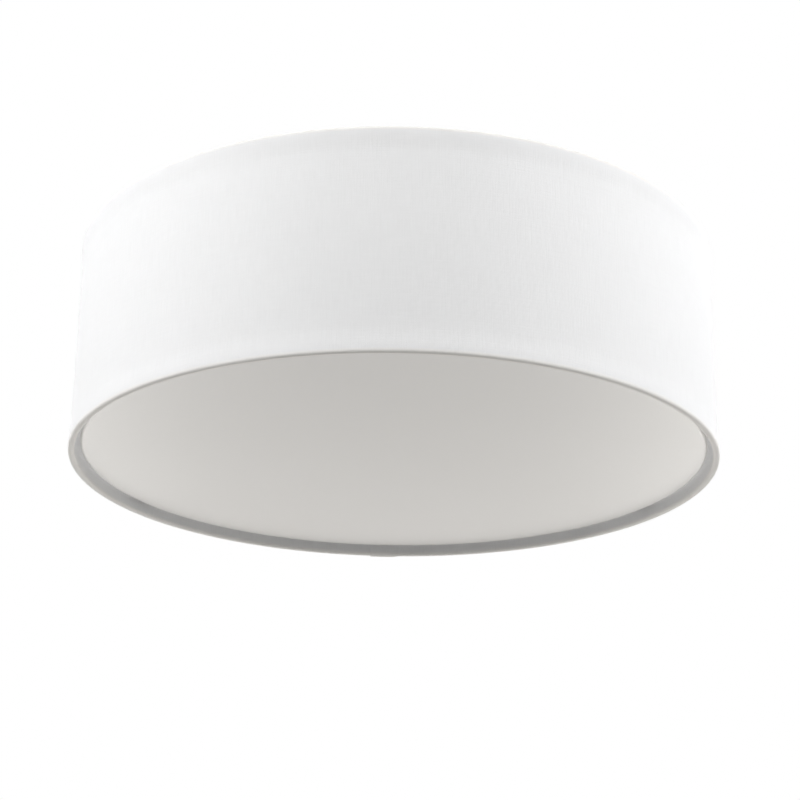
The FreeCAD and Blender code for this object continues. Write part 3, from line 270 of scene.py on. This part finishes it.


# ---------------------------------------------------------------- finishes

# The weave's two tones; its own unevenness and the painted shade between the threads are
# both drawn between them.
WEAVE_DEEP = 0.822
WEAVE_PALE = 0.868
# A cream colour painted along the hems' folds: a painted warm light from below.
PAINTED_WARM_LIGHT = (0.905, 0.875, 0.825, 1)
OPAL_DEEP = (0.805, 0.790, 0.768, 1)
OPAL_PALE = (0.83, 0.816, 0.794, 1)
GEL_DEEP = (0.83, 0.62, 0.14, 1)
GEL_PALE = (0.92, 0.76, 0.27, 1)
ZINC = (0.66, 0.675, 0.69, 1)
NICKEL = (0.77, 0.745, 0.70, 1)
MAGNET = (0.62, 0.62, 0.63, 1)
BRASS = (0.74, 0.57, 0.27, 1)
TIN = (0.70, 0.69, 0.66, 1)
BOARD_GREEN = (0.03, 0.16, 0.06, 1)
IVORY = (0.86, 0.845, 0.78, 1)
BROWN = (0.17, 0.075, 0.035, 1)
BLUE = (0.02, 0.16, 0.55, 1)
GREEN = (0.03, 0.30, 0.06, 1)
YELLOW = (0.82, 0.68, 0.05, 1)
RED = (0.52, 0.02, 0.02, 1)
BLACK = (0.018, 0.018, 0.018, 1)

# What is turned on a lathe: label, colour, dullness.
TURNED = (
    ("knurled_nut", NICKEL, 0.2),
    ("washer", ZINC, 0.3),
    ("strike_plate", ZINC, 0.34),
    ("magnet_cup", ZINC, 0.3),
)


def plain_weave(tree, lay):
    """How high the cloth's threads stand, 0 to 1, each wandering a little in its course."""
    wander = node(
        tree,
        "ShaderNodeTexNoise",
        {"Vector": lay, "Scale": WANDER, "Detail": 1.0, "Roughness": 0.5},
    ).outputs["Color"]
    shift = vectors(tree, "SUBTRACT", wander, (0.5, 0.5, 0.5))
    threads = scaled(tree, lay, (1 / WARP_PITCH, 1 / WEFT_PITCH, 1.0))
    wavy = vectors(tree, "MULTIPLY_ADD", shift, (0.5, 0.5, 0.0), threads)
    parted = node(tree, "ShaderNodeSeparateXYZ", {"Vector": wavy})
    across = sums(tree, "SINE", sums(tree, "MULTIPLY", parted.outputs["X"], math.pi))
    along = sums(tree, "SINE", sums(tree, "MULTIPLY", parted.outputs["Y"], math.pi))
    over = sums(tree, "MULTIPLY", across, along)
    raised = []
    for thread, side in ((across, 1), (along, -1)):
        lifted = sums(tree, "MULTIPLY_ADD", over, 0.42 * side, 0.58)
        raised.append(sums(tree, "MULTIPLY", sums(tree, "ABSOLUTE", thread), lifted))
    return sums(tree, "MAXIMUM", *raised)


def slubs_both_ways(tree, lay):
    """Where the threads run thicker, 0 to 1."""
    upright = clouds(tree, scaled(tree, lay, UPRIGHT_SLUBS), 1.0, 2.0)
    level = clouds(tree, scaled(tree, lay, LEVEL_SLUBS), 1.0, 2.0)
    both = sums(tree, "MULTIPLY_ADD", level, 0.55, upright)
    return spread(tree, both, 0.55, 1.05, 0.0, 1.0)


def painted_warm_light_at_folds(tree, lay):
    """How much painted warm light the cloth takes: most along the hems' folds, where light
    from below would warm it, and nowhere else.
    """
    up = node(tree, "ShaderNodeSeparateXYZ", {"Vector": lay}).outputs["Y"]
    past = sums(tree, "SUBTRACT", sums(tree, "ABSOLUTE", up), FOLD_RUN)
    away = sums(tree, "ABSOLUTE", past)
    return spread(tree, away, FOLD_HALF * 0.6, FOLD_HALF * 1.3, 0.8, 0.0)


def woven_cotton():
    """White plain weave, thread by thread, with slubs both ways, painted shade between the
    threads and a painted warm light along the folds.
    """
    material, tree, shader = new_finish(
        "woven_cotton",
        Sheen_Weight=0.04,
        Sheen_Roughness=0.45,
        Specular_IOR_Level=0.2,
        Subsurface_Weight=0.5,
        Subsurface_Radius=(1, 1, 1),
        Subsurface_Scale=0.0008,
    )
    lay = node(tree, "ShaderNodeUVMap", uv_map="cloth_lay").outputs["UV"]
    crowns = plain_weave(tree, lay)
    thick = slubs_both_ways(tree, lay)
    patches = clouds(tree, lay, PATCHES, 3.0)
    # Painted shade: the colour darkens in the hollows between threads and lightens on their
    # crowns; the slubs and patches are the cloth's own tone.
    shade = sums(tree, "MULTIPLY", crowns, 0.45)
    shade = sums(tree, "MULTIPLY_ADD", patches, 0.25, shade)
    shade = sums(tree, "MULTIPLY_ADD", thick, 0.45, shade)
    lightness_with_painted_shade = spread(tree, shade, 0.25, 0.95, 0.0, 1.0)
    weave = mixed(tree, lightness_with_painted_shade, grey(WEAVE_DEEP), grey(WEAVE_PALE))
    relief = sums(tree, "MULTIPLY_ADD", thick, 0.5, crowns)
    feed(
        tree,
        shader,
        # The folds take a painted warm light, not a cream colour of the cloth.
        Base_Color=mixed(tree, painted_warm_light_at_folds(tree, lay), weave, PAINTED_WARM_LIGHT),
        Roughness=spread(tree, crowns, 0.0, 1.0, 0.95, 0.8),
        Normal=bumped(tree, relief, WEAVE_RELIEF, 0.95),
    )
    return material


def liner_film():
    """The smooth white film under the cloth, with the cloth's threads faint in it."""
    material, tree, shader = new_finish(
        "liner_film",
        Specular_IOR_Level=0.4,
        Subsurface_Weight=0.5,
        Subsurface_Radius=(1, 1, 1),
        Subsurface_Scale=0.0008,
    )
    place = own_place(tree)
    drift = clouds(tree, place, 30.0, 3.0)
    grain = clouds(tree, scaled(tree, place, (900, 900, 240)), 1.0, 2.0)
    feed(
        tree,
        shader,
        Base_Color=mixed(tree, drift, grey(0.83, 0.006), grey(0.89, 0.004)),
        Roughness=spread(tree, grain, 0.3, 0.7, 0.36, 0.5),
        Normal=bumped(tree, grain, 0.00002),
    )
    return material


def opal_acrylic():
    """Milky sheet with a fine matte face."""
    material, tree, shader = new_finish(
        "opal_acrylic",
        Subsurface_Weight=0.15,
        Subsurface_Radius=(1, 1, 1),
        Subsurface_Scale=0.003,
        Specular_IOR_Level=0.45,
    )
    place = own_place(tree)
    tooth = clouds(tree, place, 2600.0, 2.0)
    drift = clouds(tree, place, 9.0, 2.0)
    dust = clouds(tree, place, 600.0, 4.0, 0.7)
    feed(
        tree,
        shader,
        Base_Color=mixed(tree, drift, OPAL_DEEP, OPAL_PALE),
        Roughness=spread(tree, dust, 0.3, 0.7, 0.42, 0.5),
        Normal=bumped(tree, tooth, 0.000012, 0.6),
    )
    return material


def powder_coat(name, level, peel):
    """White powder paint with its orange peel and a little unevenness in the gloss."""
    material, tree, shader = new_finish(name, Specular_IOR_Level=0.5)
    place = own_place(tree)
    skin = clouds(tree, place, peel, 3.0, 0.6)
    drift = clouds(tree, place, 14.0, 3.0)
    rubs = clouds(tree, place, 160.0, 5.0, 0.7)
    duller, brighter = grey(level * 0.965, 0.004), grey(level * 1.02, 0.002)
    feed(
        tree,
        shader,
        Base_Color=mixed(tree, drift, duller, brighter),
        Roughness=spread(tree, rubs, 0.25, 0.75, 0.32, 0.52),
        Normal=bumped(tree, skin, 0.00005, 0.8),
    )
    return material


def plated(name, colour, dull, centre=None, stretch=(420, 420, 2400)):
    """Plated metal: brushed, or turned in rings round a centre."""
    material, tree, shader = new_finish(name, Metallic=1.0)
    place = own_place(tree)
    if centre is None:
        lines = clouds(tree, scaled(tree, place, stretch), 1.0, 3.0)
    else:
        flat = scaled(tree, place, (1, 1, 0.6), centre)
        rings = node(tree, "ShaderNodeCombineXYZ", {"X": length_of(tree, flat)})
        lines = clouds(tree, rings.outputs[0], 2600.0, 2.0)
    bloom = clouds(tree, place, 210.0, 4.0, 0.6)
    feed(
        tree,
        shader,
        Base_Color=mixed(tree, bloom, dimmed(colour, 0.8), colour),
        Roughness=spread(
            tree, sums(tree, "ADD", lines, bloom), 0.7, 1.3, dull - 0.08, dull + 0.14
        ),
        Normal=bumped(tree, lines, 0.00001, 0.35),
    )
    return material


def moulded(name, colour, dull, grain, through=0.0):
    """Moulded plastic with a fine spark texture."""
    material, tree, shader = new_finish(
        name, Subsurface_Weight=through, Subsurface_Scale=0.002
    )
    place = own_place(tree)
    sparks = clouds(tree, place, grain, 3.0, 0.65)
    flow = clouds(tree, scaled(tree, place, (30, 90, 50)), 1.0, 3.0)
    feed(
        tree,
        shader,
        Base_Color=mixed(tree, flow, dimmed(colour, 0.93), colour),
        Roughness=spread(tree, sparks, 0.3, 0.7, dull - 0.06, dull + 0.1),
        Normal=bumped(tree, sparks, 0.00003, 0.7),
    )
    return material


def soft_rubber():
    """Black bush rubber with a dull bloom."""
    material, tree, shader = new_finish("soft_rubber", Specular_IOR_Level=0.35)
    place = own_place(tree)
    bloom = clouds(tree, place, 420.0, 4.0, 0.6)
    feed(
        tree,
        shader,
        Base_Color=mixed(tree, bloom, grey(0.022), grey(0.05)),
        Roughness=spread(tree, bloom, 0.3, 0.7, 0.55, 0.75),
        Normal=bumped(tree, bloom, 0.00004, 0.7),
    )
    return material


def mask_over_tracks():
    """The LED board: white mask over the raised copper rings that join the chips."""
    material, tree, shader = new_finish("mask_over_tracks", Specular_IOR_Level=0.5)
    place = own_place(tree)
    flat = scaled(tree, place, (1, 1, 0))
    out = length_of(tree, flat)
    tracks = None
    for middle, half in TRACKS:
        off = sums(tree, "ABSOLUTE", sums(tree, "SUBTRACT", out, middle))
        band = spread(tree, off, half - TRACK_EDGE, half + TRACK_EDGE, 1.0, 0.0)
        tracks = band if tracks is None else sums(tree, "MAXIMUM", tracks, band)
    skin = clouds(tree, place, 1500.0, 2.0)
    feed(
        tree,
        shader,
        Base_Color=mixed(tree, tracks, grey(0.84, 0.01), grey(0.885, 0.004)),
        Roughness=spread(tree, skin, 0.3, 0.7, 0.26, 0.4),
        Normal=bumped(tree, sums(tree, "MULTIPLY_ADD", skin, 0.2, tracks), 0.00006, 0.8),
    )
    return material


def phosphor():
    """The yellow gel in the window of a chip."""
    material, tree, shader = new_finish(
        "phosphor", Subsurface_Weight=0.3, Subsurface_Scale=0.0006, Coat_Weight=0.4
    )
    place = own_place(tree)
    grains = clouds(tree, place, 5200.0, 3.0, 0.7)
    feed(
        tree,
        shader,
        Base_Color=mixed(tree, grains, GEL_DEEP, GEL_PALE),
        Roughness=spread(tree, grains, 0.3, 0.7, 0.2, 0.36),
        Normal=bumped(tree, grains, 0.00002, 0.6),
    )
    return material


def lead_sheath(name, colour, stripe=None):
    """The smooth sheath of a lead; the earth lead has its yellow stripe."""
    material, tree, shader = new_finish(name, Coat_Weight=0.15, Coat_Roughness=0.2)
    where = node(tree, "ShaderNodeTexCoord")
    ripple = clouds(tree, where.outputs["Object"], 900.0, 2.0)
    paint = mixed(tree, ripple, dimmed(colour, 0.86), colour)
    if stripe is not None:
        facing = node(
            tree, "ShaderNodeSeparateXYZ", {"Vector": where.outputs["Normal"]}
        ).outputs["Z"]
        side = sums(tree, "ABSOLUTE", sums(tree, "ADD", facing, 0.25))
        paint = mixed(tree, spread(tree, side, 0.40, 0.46, 1.0, 0.0), paint, stripe)
    feed(
        tree,
        shader,
        Base_Color=paint,
        Roughness=spread(tree, ripple, 0.3, 0.7, 0.3, 0.42),
        Normal=bumped(tree, ripple, 0.00002, 0.5),
    )
    return material


# One finish for each material slot of the record, and the tin that led_rows adds.
finishes = {
    "pan_paint": powder_coat("pan_powder_coat", 0.86, 1100.0),
    "ring_paint": powder_coat("ring_powder_coat", 0.85, 1700.0),
    "grommet_rubber": soft_rubber(),
    "zinc_steel": plated("zinc_on_steel", ZINC, 0.36),
    "nickel": plated("nickel_on_brass", NICKEL, 0.24),
    "magnet_nickel": plated("nickel_on_magnet", MAGNET, 0.2, stretch=(900, 900, 900)),
    "brass": plated("bright_brass", BRASS, 0.28),
    "tinned_brass": plated("tin_on_brass", TIN, 0.34, stretch=(300, 1600, 300)),
    "shade_cloth": woven_cotton(),
    "shade_liner": liner_film(),
    "opal": opal_acrylic(),
    "board_white": mask_over_tracks(),
    "led_yellow": phosphor(),
    "connector_plastic": moulded("connector_nylon", grey(0.86, 0.01), 0.4, 1400.0),
    "driver_plastic": moulded("driver_case", grey(0.84, 0.006), 0.5, 1900.0),
    "tin_joint": plated("tin_joint", TIN, 0.3, stretch=(2500, 2500, 2500)),
    "circuit_board": moulded("green_board", BOARD_GREEN, 0.3, 800.0),
    "block_plastic": moulded("block_nylon", IVORY, 0.36, 900.0, through=0.12),
    "lead_brown": lead_sheath("brown_sheath", BROWN),
    "lead_blue": lead_sheath("blue_sheath", BLUE),
    "lead_green_yellow": lead_sheath("green_yellow_sheath", GREEN, stripe=YELLOW),
    "lead_red": lead_sheath("red_sheath", RED),
    "lead_black": lead_sheath("black_sheath", BLACK),
}


def centre_of(name):
    """The middle of a CAD node's box."""
    low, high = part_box(name)
    return (low + high) / 2


def dress_nodes():
    """Each CAD node gets its slot's finish; turned pieces get rings round their middle."""
    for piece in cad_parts.values():
        for held in piece.material_slots:
            held.material = finishes[held.material.name.split(".")[0]]
    for place in range(1, PLACES + 1):
        for label, colour, dull in TURNED:
            name = f"{label}_{place}"
            centre = tuple(centre_of(name))
            turned = plated(f"turned_{name}", colour, dull, centre=centre)
            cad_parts[name].material_slots[0].material = turned


# ---------------------------------------------------------------- mesh work


def finished(mesh, name, *materials):
    """Turns a bmesh into a piece at the origin."""
    data = bpy.data.meshes.new(name)
    mesh.to_mesh(data)
    mesh.free()
    piece = bpy.data.objects.new(name, data)
    bpy.context.scene.collection.objects.link(piece)
    for material in materials:
        data.materials.append(material)
    return piece


def with_borders(faces):
    """Faces with their edges and points, each once and in the same order each run."""
    edges = dict.fromkeys(edge for face in faces for edge in face.edges)
    points = dict.fromkeys(point for face in faces for point in face.verts)
    return [*faces, *edges, *points]


def begin(mesh, out, up):
    """The first point of a section, which is drawn at Y 0."""
    return mesh.verts.new((out, 0, up))


def line_to(mesh, last, out, up, parts=1):
    """Runs the section straight to a point, in equal parts."""
    start = last.co.copy()
    finish = Vector((out, 0, up))
    for part in range(1, parts + 1):
        last = bmesh.ops.extrude_vert_indiv(mesh, verts=[last])["verts"][0]
        last.co = start.lerp(finish, part / parts)
    return last


def fold_round(mesh, last, out, up):
    """Turns the section back round a ring, a little squarer than a circle."""
    before = len(mesh.verts)
    middle = Vector((out, 0, up))
    made = bmesh.ops.spin(
        mesh,
        geom=[last],
        cent=middle,
        axis=(0, 1, 0),
        angle=math.pi,
        steps=BEND_STEPS,
    )
    for point in list(mesh.verts)[before:]:
        arm = point.co - middle
        across, along = abs(arm.x) / arm.length, abs(arm.z) / arm.length
        fuller = (across**PRESSED + along**PRESSED) ** (-1 / PRESSED)
        point.co = middle + arm * fuller
    return next(g for g in made["geom_last"] if isinstance(g, bmesh.types.BMVert))


def swell_to(mesh, last, finish_out, finish_up):
    """Leaves upright, draws in or out, and arrives upright."""
    start = last.co.copy()
    for step in range(1, SWELL_STEPS + 1):
        share = step / SWELL_STEPS
        eased = share * share * (3 - 2 * share)
        out = start.x + (finish_out - start.x) * eased
        up = start.z + (finish_up - start.z) * share
        last = line_to(mesh, last, out, up)
    return last


def draw_cloth_section(mesh):
    """The cloth's outer face, from the turned-in top end to the turned-in bottom end."""
    wall = DRUM_RADIUS - WAIST_INSET
    at = begin(mesh, TURN_IN_FACE, TOP_RING_Z - HEM_DEPTH)
    at = line_to(mesh, at, TURN_IN_FACE, TOP_RING_Z - TOP_RISE - HEM_LEAN, parts=4)
    at = line_to(mesh, at, HEM_FACE, TOP_RING_Z - TOP_RISE, parts=2)
    at = line_to(mesh, at, HEM_FACE, TOP_RING_Z - RING_WIRE)
    at = line_to(mesh, at, HEM_FACE, TOP_RING_Z)
    at = fold_round(mesh, at, RING_RADIUS, TOP_RING_Z)
    at = swell_to(mesh, at, wall, TOP_RING_Z - WAIST_RUN)
    at = line_to(mesh, at, wall, BOTTOM_RING_Z + WAIST_RUN, parts=12)
    at = swell_to(mesh, at, DRUM_RADIUS, BOTTOM_RING_Z)
    at = fold_round(mesh, at, RING_RADIUS, BOTTOM_RING_Z)
    at = line_to(mesh, at, HEM_FACE, BOTTOM_RING_Z + BOTTOM_RISE, parts=3)
    at = line_to(mesh, at, TURN_IN_FACE, BOTTOM_RING_Z + BOTTOM_RISE + HEM_LEAN, parts=2)
    line_to(mesh, at, TURN_IN_FACE, BOTTOM_RING_Z + HEM_DEPTH, parts=3)


def measure_section(mesh, run):
    """Writes on each point how far along the cloth it lies."""
    mesh.verts.ensure_lookup_table()
    last = mesh.verts[0]
    seen = {last}
    length = 0.0
    while True:
        last[run] = length
        beside = [edge.other_vert(last) for edge in last.link_edges]
        onward = [point for point in beside if point not in seen]
        if not onward:
            return length
        length += (onward[0].co - last.co).length
        last = onward[0]
        seen.add(last)


def notch(mesh, angle, half_width, low, high):
    """Cuts a slit for a strap or a tab in the turned-in cloth."""
    outward = Vector((math.cos(angle), math.sin(angle), 0))
    aside = AXIS.cross(outward)
    reach = NOTCH_REACH * half_width
    for side in (-1, 1):
        near = [
            f
            for f in mesh.faces
            if (f.calc_center_median() - outward * HEM_FACE).xy.length < reach
        ]
        bmesh.ops.bisect_plane(
            mesh,
            geom=with_borders(near),
            plane_co=aside * side * half_width,
            plane_no=aside,
            dist=1e-6,
        )
    gone = []
    for face in mesh.faces:
        spot = face.calc_center_median()
        inside = spot.xy.length < LINER_FACE and low < spot.z < high
        if inside and spot.dot(outward) > 0 and abs(spot.dot(aside)) < half_width:
            gone.append(face)
    bmesh.ops.delete(mesh, geom=gone, context="FACES")


def ruffle(mesh, run, length):
    """The turned-in cloth's ends waver a little, and it puckers between its glue spots."""
    for point in mesh.verts:
        from_end = min(point[run], length - point[run])
        if from_end > WAVER_RUN:
            continue
        angle = math.atan2(point.co.y, point.co.x)
        outward = Vector((math.cos(angle), math.sin(angle), 0))
        around = outward * WAVER_WAVES
        share = 1 - from_end / WAVER_RUN
        up = -1 if point.co.z > (TOP_RING_Z + BOTTOM_RING_Z) / 2 else 1
        waver = noise.noise(around + AXIS * (point.co.z * WAVER_UP))
        point.co.z += up * END_WAVER * share * waver
        pucker = noise.noise(around * PUCKER_WAVES + PUCKER_SHIFT)
        point.co -= outward * PUCKER * share * (0.5 + 0.5 * pucker)


def make_cloth():
    """One strip of cloth, wrapped once round the drum and lapped at the back."""
    mesh = bmesh.new()
    run = mesh.verts.layers.float.new("run")
    turn = mesh.verts.layers.float.new("turn")
    draw_cloth_section(mesh)
    length = measure_section(mesh, run)
    bmesh.ops.rotate(
        mesh, verts=mesh.verts, cent=MIDDLE, matrix=Matrix.Rotation(LAP_ANGLE, 3, "Z")
    )
    edge = list(mesh.verts) + list(mesh.edges)
    lap_turn = LAP_WIDTH / DRUM_RADIUS
    for total, steps in ((math.tau, STEPS_ROUND), (lap_turn, LAP_STEPS)):
        for _ in range(steps):
            began = next(g for g in edge if isinstance(g, bmesh.types.BMVert))[turn]
            made = bmesh.ops.spin(
                mesh, geom=edge, cent=MIDDLE, axis=AXIS, angle=total / steps, steps=1
            )
            edge = made["geom_last"]
            for point in edge:
                if isinstance(point, bmesh.types.BMVert):
                    point[turn] = began + total / steps

    bmesh.ops.recalc_face_normals(mesh, faces=mesh.faces)
    outermost = max(mesh.faces, key=lambda f: f.calc_center_median().xy.length)
    if outermost.normal.dot(outermost.calc_center_median()) < 0:
        bmesh.ops.reverse_faces(mesh, faces=mesh.faces)
    mesh.normal_update()

    # the end of the strip rides up over its beginning
    normals = {v: v.normal.copy() for v in mesh.verts}
    for point, outward in normals.items():
        climbed = (point[turn] - math.tau + LAP_CLIMB) / LAP_CLIMB
        rise = max(0.0, min(1.0, climbed))
        point.co += outward * LAP_STEP * rise * rise * (3 - 2 * rise)

    lay = mesh.loops.layers.uv.new("cloth_lay")
    for face in mesh.faces:
        for corner in face.loops:
            round_the_drum = corner.vert[turn] * DRUM_RADIUS
            corner[lay].uv = (round_the_drum, corner.vert[run] - length / 2)
        face.smooth = True

    strap_span = (TOP_RING_Z - HEM_DEPTH - NOTCH_PAST, TOP_RING_Z - RING_WIRE)
    tab_span = (BOTTOM_RING_Z + BOTTOM_RISE, BOTTOM_RING_Z + HEM_DEPTH + NOTCH_PAST)
    for place in range(PLACES):
        angle = FIRST_ANGLE + math.tau * place / PLACES
        notch(mesh, angle, STRAP_NOTCH, *strap_span)
        notch(mesh, angle, TAB_NOTCH, *tab_span)
    ruffle(mesh, run, length)

    piece = finished(mesh, "drum_cloth", finishes["shade_cloth"])
    wall = piece.modifiers.new("thickness", "SOLIDIFY")
    wall.thickness = CLOTH
    wall.offset = -1
    wall.use_even_offset = True
    soften = piece.modifiers.new("cut_edges", "BEVEL")
    soften.width = CUT_EDGE
    soften.segments = 2
    soften.limit_method = "ANGLE"
    soften.angle_limit = SHARP
    soften.harden_normals = True
    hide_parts("shade_cloth")
    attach(piece, "shade")


# ---------------------------------------------------------------- LEDs


def faces_near(mesh, centre):
    """The faces of the chip that lies at a centre."""
    return [f for f in mesh.faces if (f.calc_center_median() - centre).length < CHIP_REACH]


def lowest_face(mesh, centre):
    """The face of that chip that looks down into the room."""
    return min(faces_near(mesh, centre), key=lambda f: f.calc_center_median().z)


def shape_chip(mesh, centre):
    """One LED: its housing, the sunk window of gel, and a solder fillet at each end."""
    body = bmesh.ops.create_cube(mesh, size=1)["verts"]
    housing = (CHIP_WIDE - CHIP_MARGIN, CHIP_LONG - PADS_RUN, CHIP_HIGH)
    bmesh.ops.scale(mesh, verts=body, vec=housing)
    bmesh.ops.translate(mesh, verts=body, vec=centre)
    bmesh.ops.bevel(
        mesh,
        geom=list(lowest_face(mesh, centre).edges),
        offset=HOUSING_EDGE,
        segments=2,
        profile=0.5,
        affect="EDGES",
        material=-1,
    )
    window = lowest_face(mesh, centre)
    bmesh.ops.inset_individual(mesh, faces=[window], thickness=WINDOW_FRAME)
    bmesh.ops.inset_individual(mesh, faces=[window], thickness=WINDOW_WALL)
    bmesh.ops.translate(mesh, verts=window.verts, vec=(0, 0, WINDOW_DEPTH))
    window.material_index = GEL_INDEX
    ends = [f for f in faces_near(mesh, centre) if abs(f.normal.y) > 0.99]
    for end in ends:
        side = math.copysign(1, end.normal.y)
        pulled = bmesh.ops.extrude_discrete_faces(mesh, faces=[end])["faces"][0]
        toe = [v for v in pulled.verts if v.co.z > centre.z]
        crest = [v for v in pulled.verts if v.co.z <= centre.z]
        bmesh.ops.translate(mesh, verts=toe, vec=(0, FILLET_TOE * side, 0))
        bmesh.ops.translate(mesh, verts=crest, vec=(0, FILLET_CREST * side, FILLET_CREST))
        for face in {f for v in pulled.verts for f in v.link_faces}:
            face.material_index = TIN_INDEX


def make_chips():
    """Two rings of LEDs on the board, one chip of each turned round the axis."""
    mesh = bmesh.new()
    for ring, count in ((INNER_RING, INNER_CHIPS), (OUTER_RING, OUTER_CHIPS)):
        centre = Vector((ring, 0, BOARD_FACE - CHIP_HIGH / 2))
        shape_chip(mesh, centre)
        bmesh.ops.spin(
            mesh,
            geom=with_borders(faces_near(mesh, centre)),
            cent=MIDDLE,
            axis=AXIS,
            angle=math.tau * (count - 1) / count,
            steps=count - 1,
            use_duplicate=True,
        )
    bmesh.ops.recalc_face_normals(mesh, faces=mesh.faces)
    housing = moulded("chip_housing", grey(0.87, 0.01), 0.34, 5200.0)
    gel, tin = finishes["led_yellow"], finishes["tin_joint"]
    piece = finished(mesh, "led_rows", housing, gel, tin)
    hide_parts("led_chips")
    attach(piece, "ceiling_pan")


# ---------------------------------------------------------------- studio


def make_camera():
    """The photograph's camera: below the light and in front of it, looking up."""
    level = Vector((math.cos(CAMERA_YAW), -math.sin(CAMERA_YAW), 0))
    onward = Vector((math.sin(CAMERA_YAW), math.cos(CAMERA_YAW), 0))
    ahead = onward * math.cos(CAMERA_PITCH) + AXIS * math.sin(CAMERA_PITCH)
    upright = level.cross(ahead)
    right = math.cos(CAMERA_ROLL) * level + math.sin(CAMERA_ROLL) * upright
    up = -math.sin(CAMERA_ROLL) * level + math.cos(CAMERA_ROLL) * upright
    data = bpy.data.cameras.new("studio_camera")
    data.lens = CAMERA_LENS
    data.sensor_width = CAMERA_SENSOR
    data.clip_start = 0.01
    data.clip_end = 50
    camera = bpy.data.objects.new("studio_camera", data)
    bpy.context.scene.collection.objects.link(camera)
    turned = Matrix((right, up, -ahead)).transposed().to_4x4()
    camera.matrix_world = Matrix.Translation(CAMERA_PLACE) @ turned
    bpy.context.scene.camera = camera


def white_to_the_eye(tree):
    """1 for rays from the camera, and for those seen in gloss and through glass."""
    rays = node(tree, "ShaderNodeLightPath")
    seen = rays.outputs["Is Camera Ray"]
    for kind in ("Is Glossy Ray", "Is Transmission Ray"):
        seen = sums(tree, "MAXIMUM", seen, rays.outputs[kind])
    return seen


def make_room():
    """White surroundings that light softly, and a plain floor well below the light."""
    world = bpy.context.scene.world or bpy.data.worlds.new("studio")
    bpy.context.scene.world = world
    world.use_nodes = True
    tree = world.node_tree
    tree.nodes.clear()
    strength = spread(tree, white_to_the_eye(tree), 0.0, 1.0, WORLD_LEVEL, 1.0)
    light = node(
        tree, "ShaderNodeBackground", {"Color": (1, 1, 1, 1), "Strength": strength}
    )
    out = node(tree, "ShaderNodeOutputWorld")
    tree.links.new(light.outputs[0], out.inputs["Surface"])

    mesh = bmesh.new()
    bmesh.ops.create_grid(mesh, x_segments=1, y_segments=1, size=FLOOR_SIZE)
    bmesh.ops.translate(mesh, verts=mesh.verts, vec=(0, 0, FLOOR_Z))
    pale = bpy.data.materials.new("pale_floor")
    pale.use_nodes = True
    tree = pale.node_tree
    tree.nodes.clear()
    matte = node(tree, "ShaderNodeBsdfDiffuse", {"Color": grey(FLOOR_TONE)})
    glow = sums(tree, "MULTIPLY", white_to_the_eye(tree), FLOOR_LIFT)
    lift = node(tree, "ShaderNodeEmission", {"Strength": glow})
    both = node(tree, "ShaderNodeAddShader", {0: matte.outputs[0], 1: lift.outputs[0]})
    out = node(tree, "ShaderNodeOutputMaterial")
    tree.links.new(both.outputs[0], out.inputs["Surface"])
    floor = finished(mesh, "studio_floor", pale)


def softbox(name, place, size, watts, colour):
    """A square lamp that looks at the middle of the drum and isn't seen itself."""
    data = bpy.data.lights.new(name, "AREA")
    data.shape = "SQUARE"
    data.size = size
    data.energy = watts
    data.color = colour
    lamp = bpy.data.objects.new(name, data)
    bpy.context.scene.collection.objects.link(lamp)
    toward = LAMP_AIM - Vector(place)
    lamp.rotation_mode = "QUATERNION"
    lamp.rotation_quaternion = toward.to_track_quat("-Z", "Y")
    lamp.location = place
    lamp.visible_camera = False


make_camera()
dress_nodes()
make_cloth()
make_chips()
make_room()
for lamp in LAMPS:
    softbox(*lamp)
bpy.context.scene.view_settings.view_transform = "Standard"
